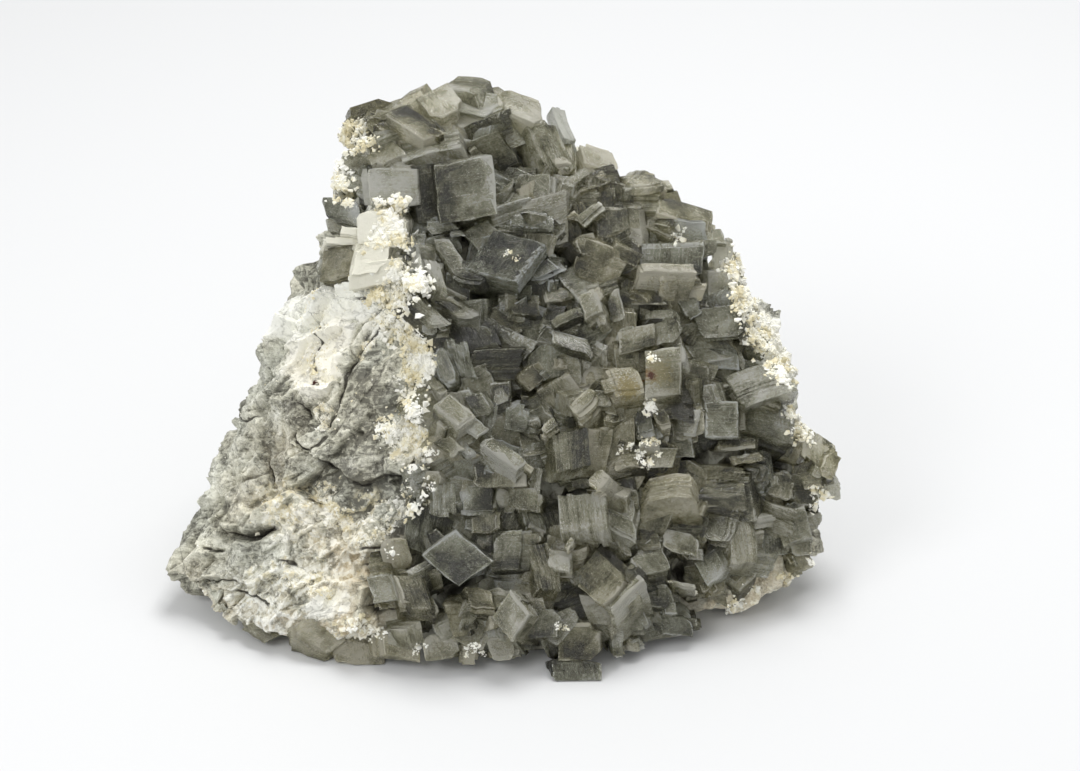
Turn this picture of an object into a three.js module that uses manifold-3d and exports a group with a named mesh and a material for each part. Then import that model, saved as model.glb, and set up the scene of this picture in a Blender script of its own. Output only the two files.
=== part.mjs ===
// A cabinet specimen of dolomite: smoky rhombohedral crystals grown together over one broken face of a
// block of massive pale dolomite. Millimetres, +Z up, the crystal face turned towards -Y.
// The origin is the middle of the bounding box, at the level of the flat base.
import * as THREE from "three";
import { ConvexGeometry } from "three/addons/geometries/ConvexGeometry.js";
import { mergeVertices } from "three/addons/utils/BufferGeometryUtils.js";
import Module from "manifold-3d";

// ---- driving dimensions -------------------------------------------------------------------------------

// The crystal face is set out on a flat sheet that leans back in front of it. A place on the sheet is
// (across, up, out): across to +X, up the sheet, and out of it towards the eye. A sight line from the eye
// through a place on the sheet finds the spot on the rock behind it.
const SHEET_LEAN = THREE.MathUtils.degToRad(30); // how far the sheet leans back from upright
const SHEET_FOOT = new THREE.Vector3(0.2, -57, 0); // where across 0, up 0 touches the ground
const SHEET_CENTRE = { across: 7.5, up: 75 }; // the eye looks square at this place
const EYE_DISTANCE = 600;

const ROCK_CENTRE = new THREE.Vector3(-4.6, 61.2, 46).add(SHEET_FOOT); // the rock's form is measured from here
const ROCK_DETAIL = 8; // subdivisions of the sphere that carries the rock's surface
const CRYSTAL_GAP = 0.45; // clearance between the rock and the crystals seated on it
const MERGE_TOLERANCE = 0.05; // facets that lie flatter than this to each other become one
const GROUND_CLEARANCE = 0.3; // the lowest crystals end just above the ground
const GRAIN = [
  { size: 24, height: 1.9 }, // broad waves of the broken surface
  { size: 10, height: 1.1 }, // hackly fracture
];
const EDGE_COSINE = 0.2186; // cosine of a dolomite rhomb's face angle, 77.4 degrees

// Corners of the block that are seen from the crystal side, as (across, up, out).
const FACE_CORNERS = [
  // left outline, from the shoulder to the toe
  [-40, 141, -27], [-46, 120, -32], [-51, 105, -36], [-59, 92, -39], [-62, 81, -40],
  [-69, 61, -38], [-79, 45, -36], [-85, 29, -24], [-77, 16, -18],
  // lower edge
  [-61, 8, -11], [-42, 2, -5], [-10, 2, -4], [13, 2, -6], [34, 10, -13], [48, 14, -18], [68, 19, -26], [76, 27, -28],
  // right outline and crown
  [79, 46, -29], [81, 57, -29], [72, 72, -29], [64, 88, -29], [57, 104, -29], [46, 114, -30], [30, 123, -30],
  [14, 136, -28], [0, 144, -28], [-15, 147, -28], [-28, 144, -27],
  // the ridge between the bare flank and the crystals, and the crystal face itself
  [-32, 111, -13], [-23, 76, -9], [-26, 51, -8], [-20, 21, -4], [20, 110, -17], [10, 75, -11],
  [40, 60, -13], [30, 30, -11], [0, 40, -9],
  // the bare flank
  [-45, 78, -19], [-62, 40, -17],
];
// Corners of the hidden back and of the base, as (x, y, z) in the sheet foot's own upright frame.
const BACK_CORNERS = [
  [-62, 84, 8], [-20, 104, 6], [30, 104, 6], [62, 86, 10],
  [-58, 100, 42], [0, 114, 50], [50, 106, 46], [76, 84, 52],
  [-36, 104, 100], [0, 108, 108], [26, 102, 94], [-60, 92, 66],
];
const BASE_CORNERS = [
  [-40, 12], [-28, 9], [-8, 5], [16, 5], [34, 20], [48, 31], [64, 46], [56, 80], [0, 95], [-50, 82], [-69, 56],
  [-60, 34],
];
// Swells and hollows of the rock, as (across, up) of their middle, their radius and their height.
const SWELLS = [
  [-38, 72, 20, 4.5], // the smooth cleaved swell of the bare flank
  [-43, 47, 9, -4], // the hollow under it
  [-66, 47, 9, 3.5], // a rounded boss
  [-66, 38, 6, -2.5], // the crevice below the boss
  [-71, 28, 11, 2], // layered ledge at the toe
  [-34, 107, 9, 4], // the pale spur of the ridge
  [-47, 98, 6, -2],
  [62, 24, 12, 2.5], // layered foot under the right side
  [-4, 98, 7, -5], // the deepest cavity between the crystals
];

// Crystals, from the crown down. Each is one rhomb: a corner of its outer face (across, up), the two edges of
// that face as (across, up, out), its depth into the rock, and how far the face stands proud of the rock.
const CRYSTALS = [
  // crown
  [-43.5, 144, 14, 4.5, -1, 8.5, -10.5, -3, 9, 5],
  [-31.5, 143, 10, -7, 2, 5.5, 2.5, -1.5, 6, 8],
  [-24, 147, 9, 5, -3, 5, -6.5, 4, 8, 6],
  [-17, 144, 5.5, 5.5, -3, 11, -2.5, 1, 8, 6],
  [-3, 150, 11, -3.5, 0, 1, -7, 3, 7, 6],
  [-13, 139, 13, 4.5, 0, 1, -6, -2, 9, 4],
  [2, 144, 7, 0, -1, 6, -15.5, 4, 8, 6],
  [9, 144.5, 3.5, -1, -1, 4.5, -10.5, 4, 7, 5],
  [17, 136.5, 9, -2.5, -2, 2, -7, 4, 6, 5],
  // left shoulder
  [-22.5, 129.5, 18, 3, -2, 1.5, -15, 1, 14, 9],
  [-38.5, 130, 15, -0.5, 1, 1, -9.5, 2, 10, 7],
  [-37, 133, 8, 4, -1, 4, -4.5, 4, 7, 6],
  [-27, 131, 15, 4, 0, -1, 5, -5, 5, 5],
  [-47.5, 123, 9, -2, 4, 1.5, -7, 0, 8, 4],
  // upper right
  [0, 128, 11.5, 0, 1, -1, -10.5, 1, 8, 3],
  [0, 120, 11, -1, 0, 0, -5, 3, 7, 4],
  [12, 125.5, 9.5, 0, 0, 0, -7.5, 1, 7, 2],
  [12, 126, 11, 3, -1, 3, -3.5, 3, 6, 4],
  [21.5, 119.5, 10.5, -0.5, 1, 0.5, -9.5, 1, 9, 6],
  [19, 112, 12, -4.5, 0, -4.5, -9, -1, 9, 4],
  [15.5, 117, 6, 5, -1, 2.5, -2.5, 2, 5, 7],
  [27, 127.5, 9.5, 1, -1, 3, -3, 3, 5, 6],
  [31, 125.5, 9, 1.5, -2, 1, -3, 2, 5, 4],
  [37, 124, 14.5, -4.5, -2, -0.5, -6, 3, 8, 7],
  [24, 125, 14, -0.5, 0, -1, -5.5, 2, 8, 3],
  [34, 118, 8, -3, 0, -1, -3, 2, 5, 4],
  [36, 114.5, 12, -1, 0, 1, -4, 2, 6, 3],
  [33, 110, 16, 0.5, 0, -1, -8, 5, 5, 8],
  [50, 112, 5, 1, -1, 0.5, -8, 1, 6, 4],
  [49.5, 104, 7.5, 1.5, -2, 0, -9, 2, 7, 4],
  [45, 114.5, 8, 0, -2, 1, -4, 2, 5, 4],
  // round the deepest cavity
  [-20, 112, 4.5, 0.5, 0, 6, -9.5, 2, 6, 6],
  [-23, 115.5, 7, 1.5, 0, 4, -4, 2, 6, 5],
  [-11, 104, 12.5, -3.5, 2, 7, 10, -5, 4, 9],
  [-16, 103, 6, -1.5, 0, 0, -8, -1, 7, 3],
  [-24, 108, 6, -2.5, 0, 2, -8.5, 2, 7, 5],
  [-27.5, 103.5, 6, 0.5, 0, 0, -5, 2, 6, 6],
  [-27, 95.5, 7, -7, 1, 5, 1.5, -1, 7, 8],
  [-30, 94, 8, -7, 0, 4, 2, 1, 7, 4],
  [-19, 95.5, 6, -4.5, 1, 5, 1, 0, 6, 5],
  [-6.5, 94, 4, -6, 1, 6, 1, 0, 7, 3],
  [-1, 98.5, 8.5, -0.5, 0, 0, -5.5, 2, 7, 4],
  [8, 99, 7, 0.5, 0, 0.5, -3, 2, 5, 4],
  [9.5, 92.5, 8, 3.5, 0, 1, -3, 3, 5, 6],
  [17, 97.5, 4, 2, 0, 2, -6.5, 2, 5, 7],
  [24, 97, 3.5, 2.5, 0, 1.5, -7, 1, 6, 5],
  // middle left
  [10, 89.5, 9.5, -3, 0, 0.5, -4, 3, 6, 6],
  [10, 83.5, 8, -1, 0, 0, -7.5, 0, 7, 4],
  [-9, 86, 13, 0, 0, -2, -8, -1, 9, 4],
  [-16, 87, 5, -1.5, 0, 2, -9, 1, 7, 5],
  [-21, 83, 4.5, 2, 0, 3.5, -8.5, 2, 7, 6],
  [-19, 70, 6.5, -5.5, 1, 4, 3, -2, 4, 9],
  [-12, 72, 5, 1, 0, 3, -5, 1, 6, 6],
  [-5, 75.5, 5, 0.5, 0, 0.5, -8, 0, 7, 3],
  [-1, 72, 8, -1, 0, -1, -8, 2, 8, 5],
  [-8, 61, 10, -7, 1, 3, 2.5, -2, 5, 8],
  [-19, 60.5, 4.5, -3.5, 1, 3.5, 2, -1, 5, 7],
  [-9, 56, 13, 0.5, 0, 0, -7, 2, 9, 5],
  [0, 50, 8, -1, 0, -0.5, -5.5, 2, 7, 6],
  [-20, 50, 5.5, 0.5, 0, 0, -7.5, 1, 7, 6],
  [-13, 50, 8, 0, 0, 0.5, -7, 1, 8, 5],
  // middle
  [10.5, 62.5, 8.5, 2, -1, 0.5, -12.5, 2, 8, 8],
  [14.5, 70, 5.5, 4.5, -1, 3, -2.5, 2, 5, 7],
  [20, 74, 5, -0.5, 0, 1, -5, 2, 6, 6],
  [23.5, 79, 8, 1, 0, 2.5, -7, 3, 7, 7],
  [34, 84, 9, 1, -1, -0.5, -12, 3, 8, 9],
  [26, 84, 8, 0.5, 0, 0.5, -6, 0, 7, 4],
  [27, 88.5, 9, 2.5, 0, 0, -6, 1, 4, 7],
  [34, 93.5, 9, 1, -1, 0.5, -8.5, 2, 7, 7],
  [28.5, 101, 10, 0, 0, 1, -6, 1, 7, 4],
  [40.5, 98, 4, 3, -1, 4.5, -7, 1, 7, 5],
  [31, 68.5, 5, 1.5, 0, 1.5, -7, 1, 7, 5],
  [36, 59.5, 7.5, 0, -1, -2, -5, 2, 6, 6],
  // middle right
  [45, 94, 12, 1.5, -2, 3, -8, 3, 8, 6],
  [45, 86.5, 12.5, -0.5, -1, 0, -7, 0, 8, 4],
  [52.5, 77.5, 14, 5, -4, 5, -8, 5, 5, 9],
  [60, 71, 12, -3.5, -2, -0.5, -8, 3, 9, 7],
  [73, 66, 9, -6, -2, 0, -8, 2, 8, 5],
  [80, 59.5, 3.5, -1.5, -1, -3, -7, 1, 5, 6],
  [76.6, 50.5, 6, -0.3, -1, 0.3, -4, 0, 7, 5],
  [48.5, 71, 8.5, 0, 0, 0, -9, 3, 8, 7],
  [40, 68, 8.5, 2.5, 0, 1, -7, 2, 8, 4],
  [32, 51, 14, 2.5, -1, -1, -6, 3, 8, 7],
  [48, 55, 11, 0, -1, -1, -3.5, 1, 8, 5],
  [47.5, 51, 12, 0, -1, -0.5, -5, 3, 8, 6],
  [52, 61, 9.5, 1, -1, 0, -2.5, 1, 6, 5],
  [54.5, 57, 8, 1.5, -1, 1, -2, 1, 5, 6],
  [60, 55, 5.5, 1, -1, 1, -5.5, 1, 6, 4],
  [65, 54, 6, -2, -1, -1, -6, 1, 6, 4],
  [70, 53, 6.5, 0, -2, 1, -8, 2, 7, 5],
  // lower left
  [-22, 32.5, 9, -7.5, 2, 8.5, 6, -4, 4, 10],
  [-4, 38.5, 9.5, 0.5, 0, -1, -9.5, 1, 7, 6],
  [3.5, 35, 6, 0, 0, 3.5, -11, 3, 7, 6],
  [9.5, 34, 5.5, -1, 0, 0, -5, 2, 5, 8],
  [-9.5, 43, 6.5, 0, 0, 0, -5, 1, 6, 5],
  [-29, 27.5, 8, 0, 0, 3, -8, 3, 8, 6],
  [-36, 27, 6.5, 1, 0, 2, -6.5, 2, 7, 6],
  [-18, 19.5, 9, 0.5, 0, 3, -9, 1, 8, 4],
  [-11, 25, 6, -0.5, 0, 1.5, -6, 2, 7, 5],
  [-4.5, 17, 4.5, 6.5, -1, 4.8, -5.8, 2, 6, 8],
  [4, 19, 9, 0, 0, -1, -7, 1, 7, 5],
  // lower right
  [11.5, 47.5, 12, 0.5, -1, 2, -12, 4, 8, 8],
  [24, 45, 7, -3.5, -1, 1, -6.5, 2, 7, 5],
  [14.5, 27.5, 8, 8.5, -3, 8.5, -8, 3, 7, 8],
  [24, 20, 8, 7.5, -2, 1.5, -1, 1, 4, 8],
  [30, 32.5, 8, 1.5, -1, 2.5, -5, 2, 6, 7],
  [38, 39.5, 9, -2, -1, 0, -5, 2, 6, 6],
  [31, 39, 6, 0, 0, 1, -5, 1, 6, 4],
  [45.5, 31.5, 6, 4, -2, 3.5, -6.5, 2, 6, 6],
  [54, 41, 6.5, 0, -1, 2, -10.5, 3, 7, 6],
  [62, 38.5, 8, 0, -2, 0.5, -6, 1, 6, 4],
  [44, 46, 14, 0, -2, 0, -4, 1, 7, 4],
  [66, 43, 8, 2, -3, 2, -8, 2, 7, 5],
  [73, 42.5, 5.5, 0.5, -2, -1, -4, 1, 5, 6],
  [70, 36.5, 6, 0, -2, 0.5, -4, 1, 5, 5],
  [70, 33, 4, 2, -2, 2.5, -5, 1, 5, 5],
  // foot
  [12, 15.5, 10.5, 0, 0, 0, -9, 1, 8, 6],
  [10.5, 6.5, 12, -0.5, 0, 0.5, -6, 0, 8, 8],
  [26, 14, 3, 0, 0, -0.5, -7, 0, 5, 6],
  [28.5, 12.5, 4.5, -2, -1, 0.5, -3.5, 0, 5, 5],
  [25, 20, 8, 0, -1, 3, -8, 0, 7, 5],
  [31, 26, 9, -0.5, -1, 1.5, -6, 1, 7, 5],
  [35, 20, 10, -1, -2, 1, -7, 0, 7, 4],
];

// Crystals that stand alone on the bare rock, each a piece of its own, in the same form.
const LONE_CRYSTALS = {
  left_edge_crystal: [-47, 110, 9, 1.5, 4, -1, -9, 1, 8, 4],
  left_toe_crystal: [-68.5, 14.3, 6, 2.5, -1, 7, -3.8, 2, 6, 3],
  pale_toe_crystal: [-55.4, 13.6, 8, -5.6, 1, 5, 3.2, -2, 5, 4],
  front_toe_crystal: [-42.4, 8.7, 8.4, -1.2, 0, 0.8, -4, 1, 5, 3],
};

// Smaller crystals fill the spaces between those, scattered over this outline of the crystal face.
const FACE_OUTLINE = [
  [-37, 128], [-40, 142], [-24, 147], [-10, 147], [7, 139], [22, 128], [48, 114], [53, 96], [63, 77], [73, 58],
  [74, 45], [70, 35], [56, 30], [44, 20], [25, 9], [6, 6], [-14, 9], [-27, 18], [-33, 28], [-25, 48], [-20, 62],
  [-20, 76], [-26, 96], [-23, 112], [-36, 121],
];
const FILL_SPACING = 10;
const FILL_JITTER = 0.7; // share of the spacing that a crystal may be shifted
const FILL_EDGE = [6.5, 10.5]; // shortest and longest edge
const FILL_PROUD = [1.5, 5];
const FILL_TURN = 0.5; // most crystals lie within this turn of the shared growth direction, in radians
const FILL_STRAY = 0.2; // share of the crystals that lie at any turn
const FILL_TILT = 0.5; // largest slope of an edge out of the sheet
const FILL_DEPTH = 8;
const FILL_SEED = 43;

// ---- helpers ------------------------------------------------------------------------------------------

const wasm = await Module();
wasm.setup();

const sheetAcross = new THREE.Vector3(1, 0, 0);
const sheetUp = new THREE.Vector3(0, Math.sin(SHEET_LEAN), Math.cos(SHEET_LEAN));
const sheetOut = new THREE.Vector3(0, -Math.cos(SHEET_LEAN), Math.sin(SHEET_LEAN));

// A direction given as (across, up, out).
function sheetVector(across, up, out) {
  return new THREE.Vector3()
    .addScaledVector(sheetAcross, across)
    .addScaledVector(sheetUp, up)
    .addScaledVector(sheetOut, out);
}

const eye = sheetVector(SHEET_CENTRE.across, SHEET_CENTRE.up, EYE_DISTANCE).add(SHEET_FOOT);

// The point on the sight line through (across, up) that lies a distance out of the sheet.
function onSightLine(across, up, out) {
  const place = sheetVector(across, up, 0).add(SHEET_FOOT);
  return place.lerp(eye, out / EYE_DISTANCE);
}

// Repeatable random numbers from 0 to 1.
function seededRandom(seed) {
  let state = seed >>> 0;
  return () => {
    state = (state + 0x6d2b79f5) >>> 0;
    let mixed = Math.imul(state ^ (state >>> 15), state | 1);
    mixed ^= mixed + Math.imul(mixed ^ (mixed >>> 7), mixed | 61);
    return ((mixed ^ (mixed >>> 14)) >>> 0) / 4294967296;
  };
}

// A repeatable value from -1 to 1 at a lattice point.
function latticeValue(i, j, k) {
  let mixed = Math.imul(i, 374761393) ^ Math.imul(j, 668265263) ^ Math.imul(k, 2147483647);
  mixed = Math.imul(mixed ^ (mixed >>> 13), 1274126177);
  return (((mixed ^ (mixed >>> 16)) >>> 0) / 4294967296) * 2 - 1;
}

// Smooth noise from -1 to 1 with one wave about every unit.
function smoothNoise(x, y, z) {
  const [i, j, k] = [x, y, z].map(Math.floor);
  const [a, b, c] = [x - i, y - j, z - k].map((t) => t * t * (3 - 2 * t));
  let value = 0;
  for (const [di, wi] of [[0, 1 - a], [1, a]])
    for (const [dj, wj] of [[0, 1 - b], [1, b]])
      for (const [dk, wk] of [[0, 1 - c], [1, c]])
        value += wi * wj * wk * latticeValue(i + di, j + dj, k + dk);
  return value;
}

// A closed geometry with only positions, its shared vertices merged.
function merged(geometry) {
  const bare = new THREE.BufferGeometry().setAttribute("position", geometry.getAttribute("position"));
  if (geometry.index) bare.setIndex(geometry.index);
  return mergeVertices(bare, 1e-4);
}

function toSolid(geometry) {
  const closed = merged(geometry);
  const vertProperties = new Float32Array(closed.attributes.position.array);
  const triVerts = new Uint32Array(closed.index.array);
  return new wasm.Manifold(new wasm.Mesh({ numProp: 3, vertProperties, triVerts }));
}

function toGeometry(solid) {
  const mesh = solid.getMesh();
  const geometry = new THREE.BufferGeometry();
  geometry.setAttribute("position", new THREE.BufferAttribute(new Float32Array(mesh.vertProperties), 3));
  geometry.setIndex(new THREE.BufferAttribute(new Uint32Array(mesh.triVerts), 1));
  geometry.computeVertexNormals();
  return geometry;
}

// ---- the block of massive dolomite --------------------------------------------------------------------

// The planes of the block's broken faces, as outward normal and distance from the rock's centre.
function brokenFaces() {
  const corners = [
    ...FACE_CORNERS.map(([across, up, out]) => onSightLine(across, up, out)),
    ...BACK_CORNERS.map(([x, y, z]) => new THREE.Vector3(x, y, z).add(SHEET_FOOT)),
    ...BASE_CORNERS.map(([x, y]) => new THREE.Vector3(x, y, 0).add(SHEET_FOOT)),
  ].map((corner) => corner.sub(ROCK_CENTRE));
  const position = new ConvexGeometry(corners).getAttribute("position");
  const planes = [];
  for (let i = 0; i < position.count; i += 3) {
    const [a, b, c] = [0, 1, 2].map((k) => new THREE.Vector3().fromBufferAttribute(position, i + k));
    const plane = new THREE.Plane().setFromCoplanarPoints(a, b, c);
    const isBase = plane.normal.z < -0.999;
    if (!isBase) planes.push({ normal: plane.normal, distance: -plane.constant });
  }
  return planes;
}

// How far the plain block reaches from its centre in a direction.
function blockReach(planes, direction) {
  let reach = Infinity;
  for (const { normal, distance } of planes) {
    const slope = normal.dot(direction);
    if (slope > 1e-6) reach = Math.min(reach, distance / slope);
  }
  return reach;
}

// Where a sight line first meets the plain block, found by stepping in from the eye.
function meetsBlock(planes, across, up) {
  for (let out = 20; out > -60; out -= 0.5) {
    const point = onSightLine(across, up, out).sub(ROCK_CENTRE);
    if (point.length() <= blockReach(planes, point.clone().normalize())) return point;
  }
  throw new Error(`no rock behind ${across}, ${up}`);
}

function grainAt(point) {
  let height = 0;
  for (const wave of GRAIN) {
    const p = point.clone().divideScalar(wave.size);
    height += wave.height * smoothNoise(p.x + 7.3, p.y + 2.1, p.z + 5.7);
  }
  return height;
}

// The block's surface, moved out by grow. The base stays flat, at the ground.
function rockGeometry(planes, grow) {
  const swells = SWELLS.map(([across, up, radius, height]) => ({
    at: meetsBlock(planes, across, up),
    radius,
    height,
  }));
  const geometry = merged(new THREE.IcosahedronGeometry(1, ROCK_DETAIL));
  const position = geometry.getAttribute("position");
  const direction = new THREE.Vector3();
  for (let i = 0; i < position.count; i++) {
    direction.fromBufferAttribute(position, i).normalize();
    const point = direction.clone().multiplyScalar(blockReach(planes, direction));
    let reach = point.length() + grainAt(point) + grow;
    for (const { at, radius, height } of swells) {
      const share = point.distanceTo(at) / radius;
      reach += height * Math.exp(-share * share);
    }
    const toBase = direction.z < 0 ? (ROCK_CENTRE.z + grow) / -direction.z : Infinity;
    direction.multiplyScalar(Math.min(reach, toBase)).add(ROCK_CENTRE);
    position.setXYZ(i, direction.x, direction.y, direction.z);
  }
  geometry.computeVertexNormals();
  return geometry;
}

// ---- the crystals -------------------------------------------------------------------------------------

// The third edge of a rhomb, into the rock, at dolomite's own angles to the two edges of its outer face.
function inwardEdge(first, second, depth, lean) {
  const a = first.clone().normalize();
  const b = second.clone().normalize();
  const between = THREE.MathUtils.clamp(a.dot(b), -0.8, 0.8);
  const toFirst = EDGE_COSINE * lean;
  const toSecond = between < 0 ? toFirst : -toFirst;
  const spread = 1 - between * between;
  const alongA = (toFirst - between * toSecond) / spread;
  const alongB = (toSecond - between * toFirst) / spread;
  const inPlane = a.clone().multiplyScalar(alongA).addScaledVector(b, alongB);
  const normal = a.clone().cross(b).normalize();
  if (normal.dot(sheetOut) > 0) normal.negate();
  const rest = Math.sqrt(Math.max(0.2, 1 - inPlane.lengthSq()));
  return inPlane.addScaledVector(normal, rest).normalize().multiplyScalar(depth);
}

// A rhomb with one corner at the origin and three edges, its faces pointing out.
function rhombGeometry(edges) {
  const geometry = new THREE.BoxGeometry(1, 1, 1);
  geometry.translate(0.5, 0.5, 0.5);
  const [a, b, c] = edges;
  const turned = a.clone().cross(b).dot(c) < 0;
  const basis = turned ? new THREE.Matrix4().makeBasis(b, a, c) : new THREE.Matrix4().makeBasis(a, b, c);
  return geometry.applyMatrix4(basis);
}

// Finds how far out of the sheet the rock lies behind (across, up). A crystal at the rim takes the rock's
// level a little nearer the middle of the face.
function rockLevelFinder(rock) {
  const probe = new THREE.Raycaster();
  const middle = { across: 5, up: 75 };
  return (across, up) => {
    for (let step = 0; step < 1; step += 0.02) {
      const place = sheetVector(
        across + (middle.across - across) * step,
        up + (middle.up - up) * step,
        0,
      ).add(SHEET_FOOT);
      probe.set(eye, place.sub(eye).normalize());
      const hit = probe.intersectObject(rock)[0];
      if (hit) return hit.point.sub(SHEET_FOOT).dot(sheetOut);
    }
    throw new Error(`no rock near ${across}, ${up}`);
  };
}

function crystalSolid(row, lean, rockLevel) {
  const [across, up, aAcross, aUp, aOut, bAcross, bUp, bOut, depth, proud] = row;
  const first = sheetVector(aAcross, aUp, aOut);
  const second = sheetVector(bAcross, bUp, bOut);
  const middleAcross = across + (aAcross + bAcross) / 2;
  const middleUp = up + (aUp + bUp) / 2;
  const level = rockLevel(middleAcross, middleUp) + proud;
  const corner = onSightLine(middleAcross, middleUp, level)
    .addScaledVector(first, -0.5)
    .addScaledVector(second, -0.5);
  const geometry = rhombGeometry([first, second, inwardEdge(first, second, depth + proud, lean)]);
  return toSolid(geometry.translate(corner.x, corner.y, corner.z));
}

function insideOutline(across, up) {
  let inside = false;
  FACE_OUTLINE.forEach(([x1, y1], i) => {
    const [x0, y0] = FACE_OUTLINE[(i + FACE_OUTLINE.length - 1) % FACE_OUTLINE.length];
    if (y0 > up !== y1 > up && across < x0 + ((up - y0) * (x1 - x0)) / (y1 - y0)) inside = !inside;
  });
  return inside;
}

// The smaller crystals: one on each place of a shaken grid, each with its own turn, tilt and size. Most share
// a growth direction, with one edge nearly level and the other running down the face.
function fillRows() {
  const random = seededRandom(FILL_SEED);
  const between = ([low, high]) => low + (high - low) * random();
  const rows = [];
  for (let up = 8; up < 148; up += FILL_SPACING) {
    for (let across = -40; across < 80; across += FILL_SPACING) {
      const middleAcross = across + (random() - 0.5) * FILL_SPACING * FILL_JITTER;
      const middleUp = up + (random() - 0.5) * FILL_SPACING * FILL_JITTER;
      const stray = random() < FILL_STRAY;
      const turn = (random() - 0.5) * (stray ? Math.PI : 2 * FILL_TURN);
      const edges = [between(FILL_EDGE), between(FILL_EDGE)];
      const slopes = [random() - 0.5, random() - 0.5].map((s) => 2 * s * FILL_TILT);
      const proud = between(FILL_PROUD);
      if (!insideOutline(middleAcross, middleUp)) continue;
      const faceAngle = Math.acos(random() < 0.5 ? EDGE_COSINE : -EDGE_COSINE);
      const [a, b] = [turn, turn - faceAngle].map((angle, i) => {
        const flat = edges[i] / Math.hypot(1, slopes[i]);
        return [flat * Math.cos(angle), flat * Math.sin(angle), flat * slopes[i]];
      });
      const corner = [middleAcross - (a[0] + b[0]) / 2, middleUp - (a[1] + b[1]) / 2];
      rows.push([...corner, ...a, ...b, FILL_DEPTH, proud]);
    }
  }
  return rows;
}

// ---- assembly -----------------------------------------------------------------------------------------

const paleDolomite = new THREE.MeshStandardMaterial({ color: 0xb5b09f, roughness: 0.75, metalness: 0 });
const smokyDolomite = new THREE.MeshStandardMaterial({ color: 0x77736a, roughness: 0.35, metalness: 0 });

const planes = brokenFaces();
const matrix = new THREE.Mesh(rockGeometry(planes, 0), paleDolomite);
matrix.name = "matrix";
matrix.updateMatrixWorld(true);

const seat = toSolid(rockGeometry(planes, CRYSTAL_GAP));
const ground = toSolid(new THREE.BoxGeometry(400, 400, 100).translate(0, 0, GROUND_CLEARANCE - 50));
const rockLevel = rockLevelFinder(matrix);
const specimen = new THREE.Group();
specimen.add(matrix);

// Trims a crystal, or crystals grown together, off the rock and the ground, and names what is left.
function seatedMesh(name, solid) {
  const seated = solid
    .subtract(seat)
    .subtract(ground)
    .decompose()
    .sort((one, other) => other.volume() - one.volume())[0];
  const mesh = new THREE.Mesh(toGeometry(seated.asOriginal().simplify(MERGE_TOLERANCE)), smokyDolomite.clone());
  mesh.name = name;
  return mesh;
}

const crystals = [...CRYSTALS, ...fillRows()].map((row, i) => crystalSolid(row, i % 2 ? 1 : -1, rockLevel));
specimen.add(seatedMesh("crystal_druse", crystals.reduce((joined, crystal) => joined.add(crystal))));
for (const [name, row] of Object.entries(LONE_CRYSTALS))
  specimen.add(seatedMesh(name, crystalSolid(row, 1, rockLevel)));
export default specimen;
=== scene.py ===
"""A cabinet specimen of dolomite: smoky rhombohedral crystals grown over a block of pale massive dolomite.

Lengths in this script are millimetres, and each mesh is written to Blender in metres.
"""

import math

import bpy
import numpy as np
from mathutils import Matrix, Vector
from mathutils.bvhtree import BVHTree


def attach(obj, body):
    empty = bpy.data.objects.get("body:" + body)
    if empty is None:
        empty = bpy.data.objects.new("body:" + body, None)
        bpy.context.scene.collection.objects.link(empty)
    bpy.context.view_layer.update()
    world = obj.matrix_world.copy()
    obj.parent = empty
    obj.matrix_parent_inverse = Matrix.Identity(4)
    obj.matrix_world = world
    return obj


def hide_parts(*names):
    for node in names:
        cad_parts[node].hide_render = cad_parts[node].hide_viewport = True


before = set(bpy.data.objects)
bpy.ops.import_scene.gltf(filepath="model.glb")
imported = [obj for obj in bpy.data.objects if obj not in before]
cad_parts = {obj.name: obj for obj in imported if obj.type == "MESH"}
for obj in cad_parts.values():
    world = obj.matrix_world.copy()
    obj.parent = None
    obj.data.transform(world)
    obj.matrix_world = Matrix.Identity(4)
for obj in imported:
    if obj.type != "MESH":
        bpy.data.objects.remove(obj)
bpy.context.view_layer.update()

# ---- Camera -------------------------------------------------------------------------------------------
# The specimen is set out on a sheet that leans back 30 degrees in front of it. A place on the sheet is
# (across, up), and a height above it is "out", towards the eye. The eye looks square at the sheet.

METRE = 1000.0
SHEET_LEAN = math.radians(30)
SHEET_FOOT = np.array((0.2, -57.0, 0.0))
SHEET_CENTRE = (7.5, 75.0)
SHEET_WIDTH = 270.0
EYE_DISTANCE = 600.0
SENSOR_WIDTH = 36.0
NEAREST_SEEN = 10.0

ACROSS = np.array((1.0, 0.0, 0.0))
UP = np.array((0.0, math.sin(SHEET_LEAN), math.cos(SHEET_LEAN)))
OUT = np.array((0.0, -math.cos(SHEET_LEAN), math.sin(SHEET_LEAN)))
EYE = SHEET_FOOT + SHEET_CENTRE[0] * ACROSS + SHEET_CENTRE[1] * UP + EYE_DISTANCE * OUT


def on_sight_line(across, up, out=0.0):
    """The point on the sight line through (across, up) that lies this far out of the sheet."""
    place = SHEET_FOOT + across * ACROSS + up * UP
    return place + (EYE - place) * out / EYE_DISTANCE


def first_seen(tree, across, up):
    """Where the sight line through (across, up) meets a mesh, and the normal there, or None for both."""
    return tree.ray_cast(EYE, on_sight_line(across, up) - EYE)[:2]


def sheet_places(points):
    """Where sight lines to the points cross the sheet and how far out they lie: (across, up, out)."""
    seen = points - EYE
    nearness = EYE_DISTANCE / -(seen @ OUT)
    return np.stack(
        (
            seen @ ACROSS * nearness + SHEET_CENTRE[0],
            seen @ UP * nearness + SHEET_CENTRE[1],
            (points - SHEET_FOOT) @ OUT,
        ),
        axis=1,
    )


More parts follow.
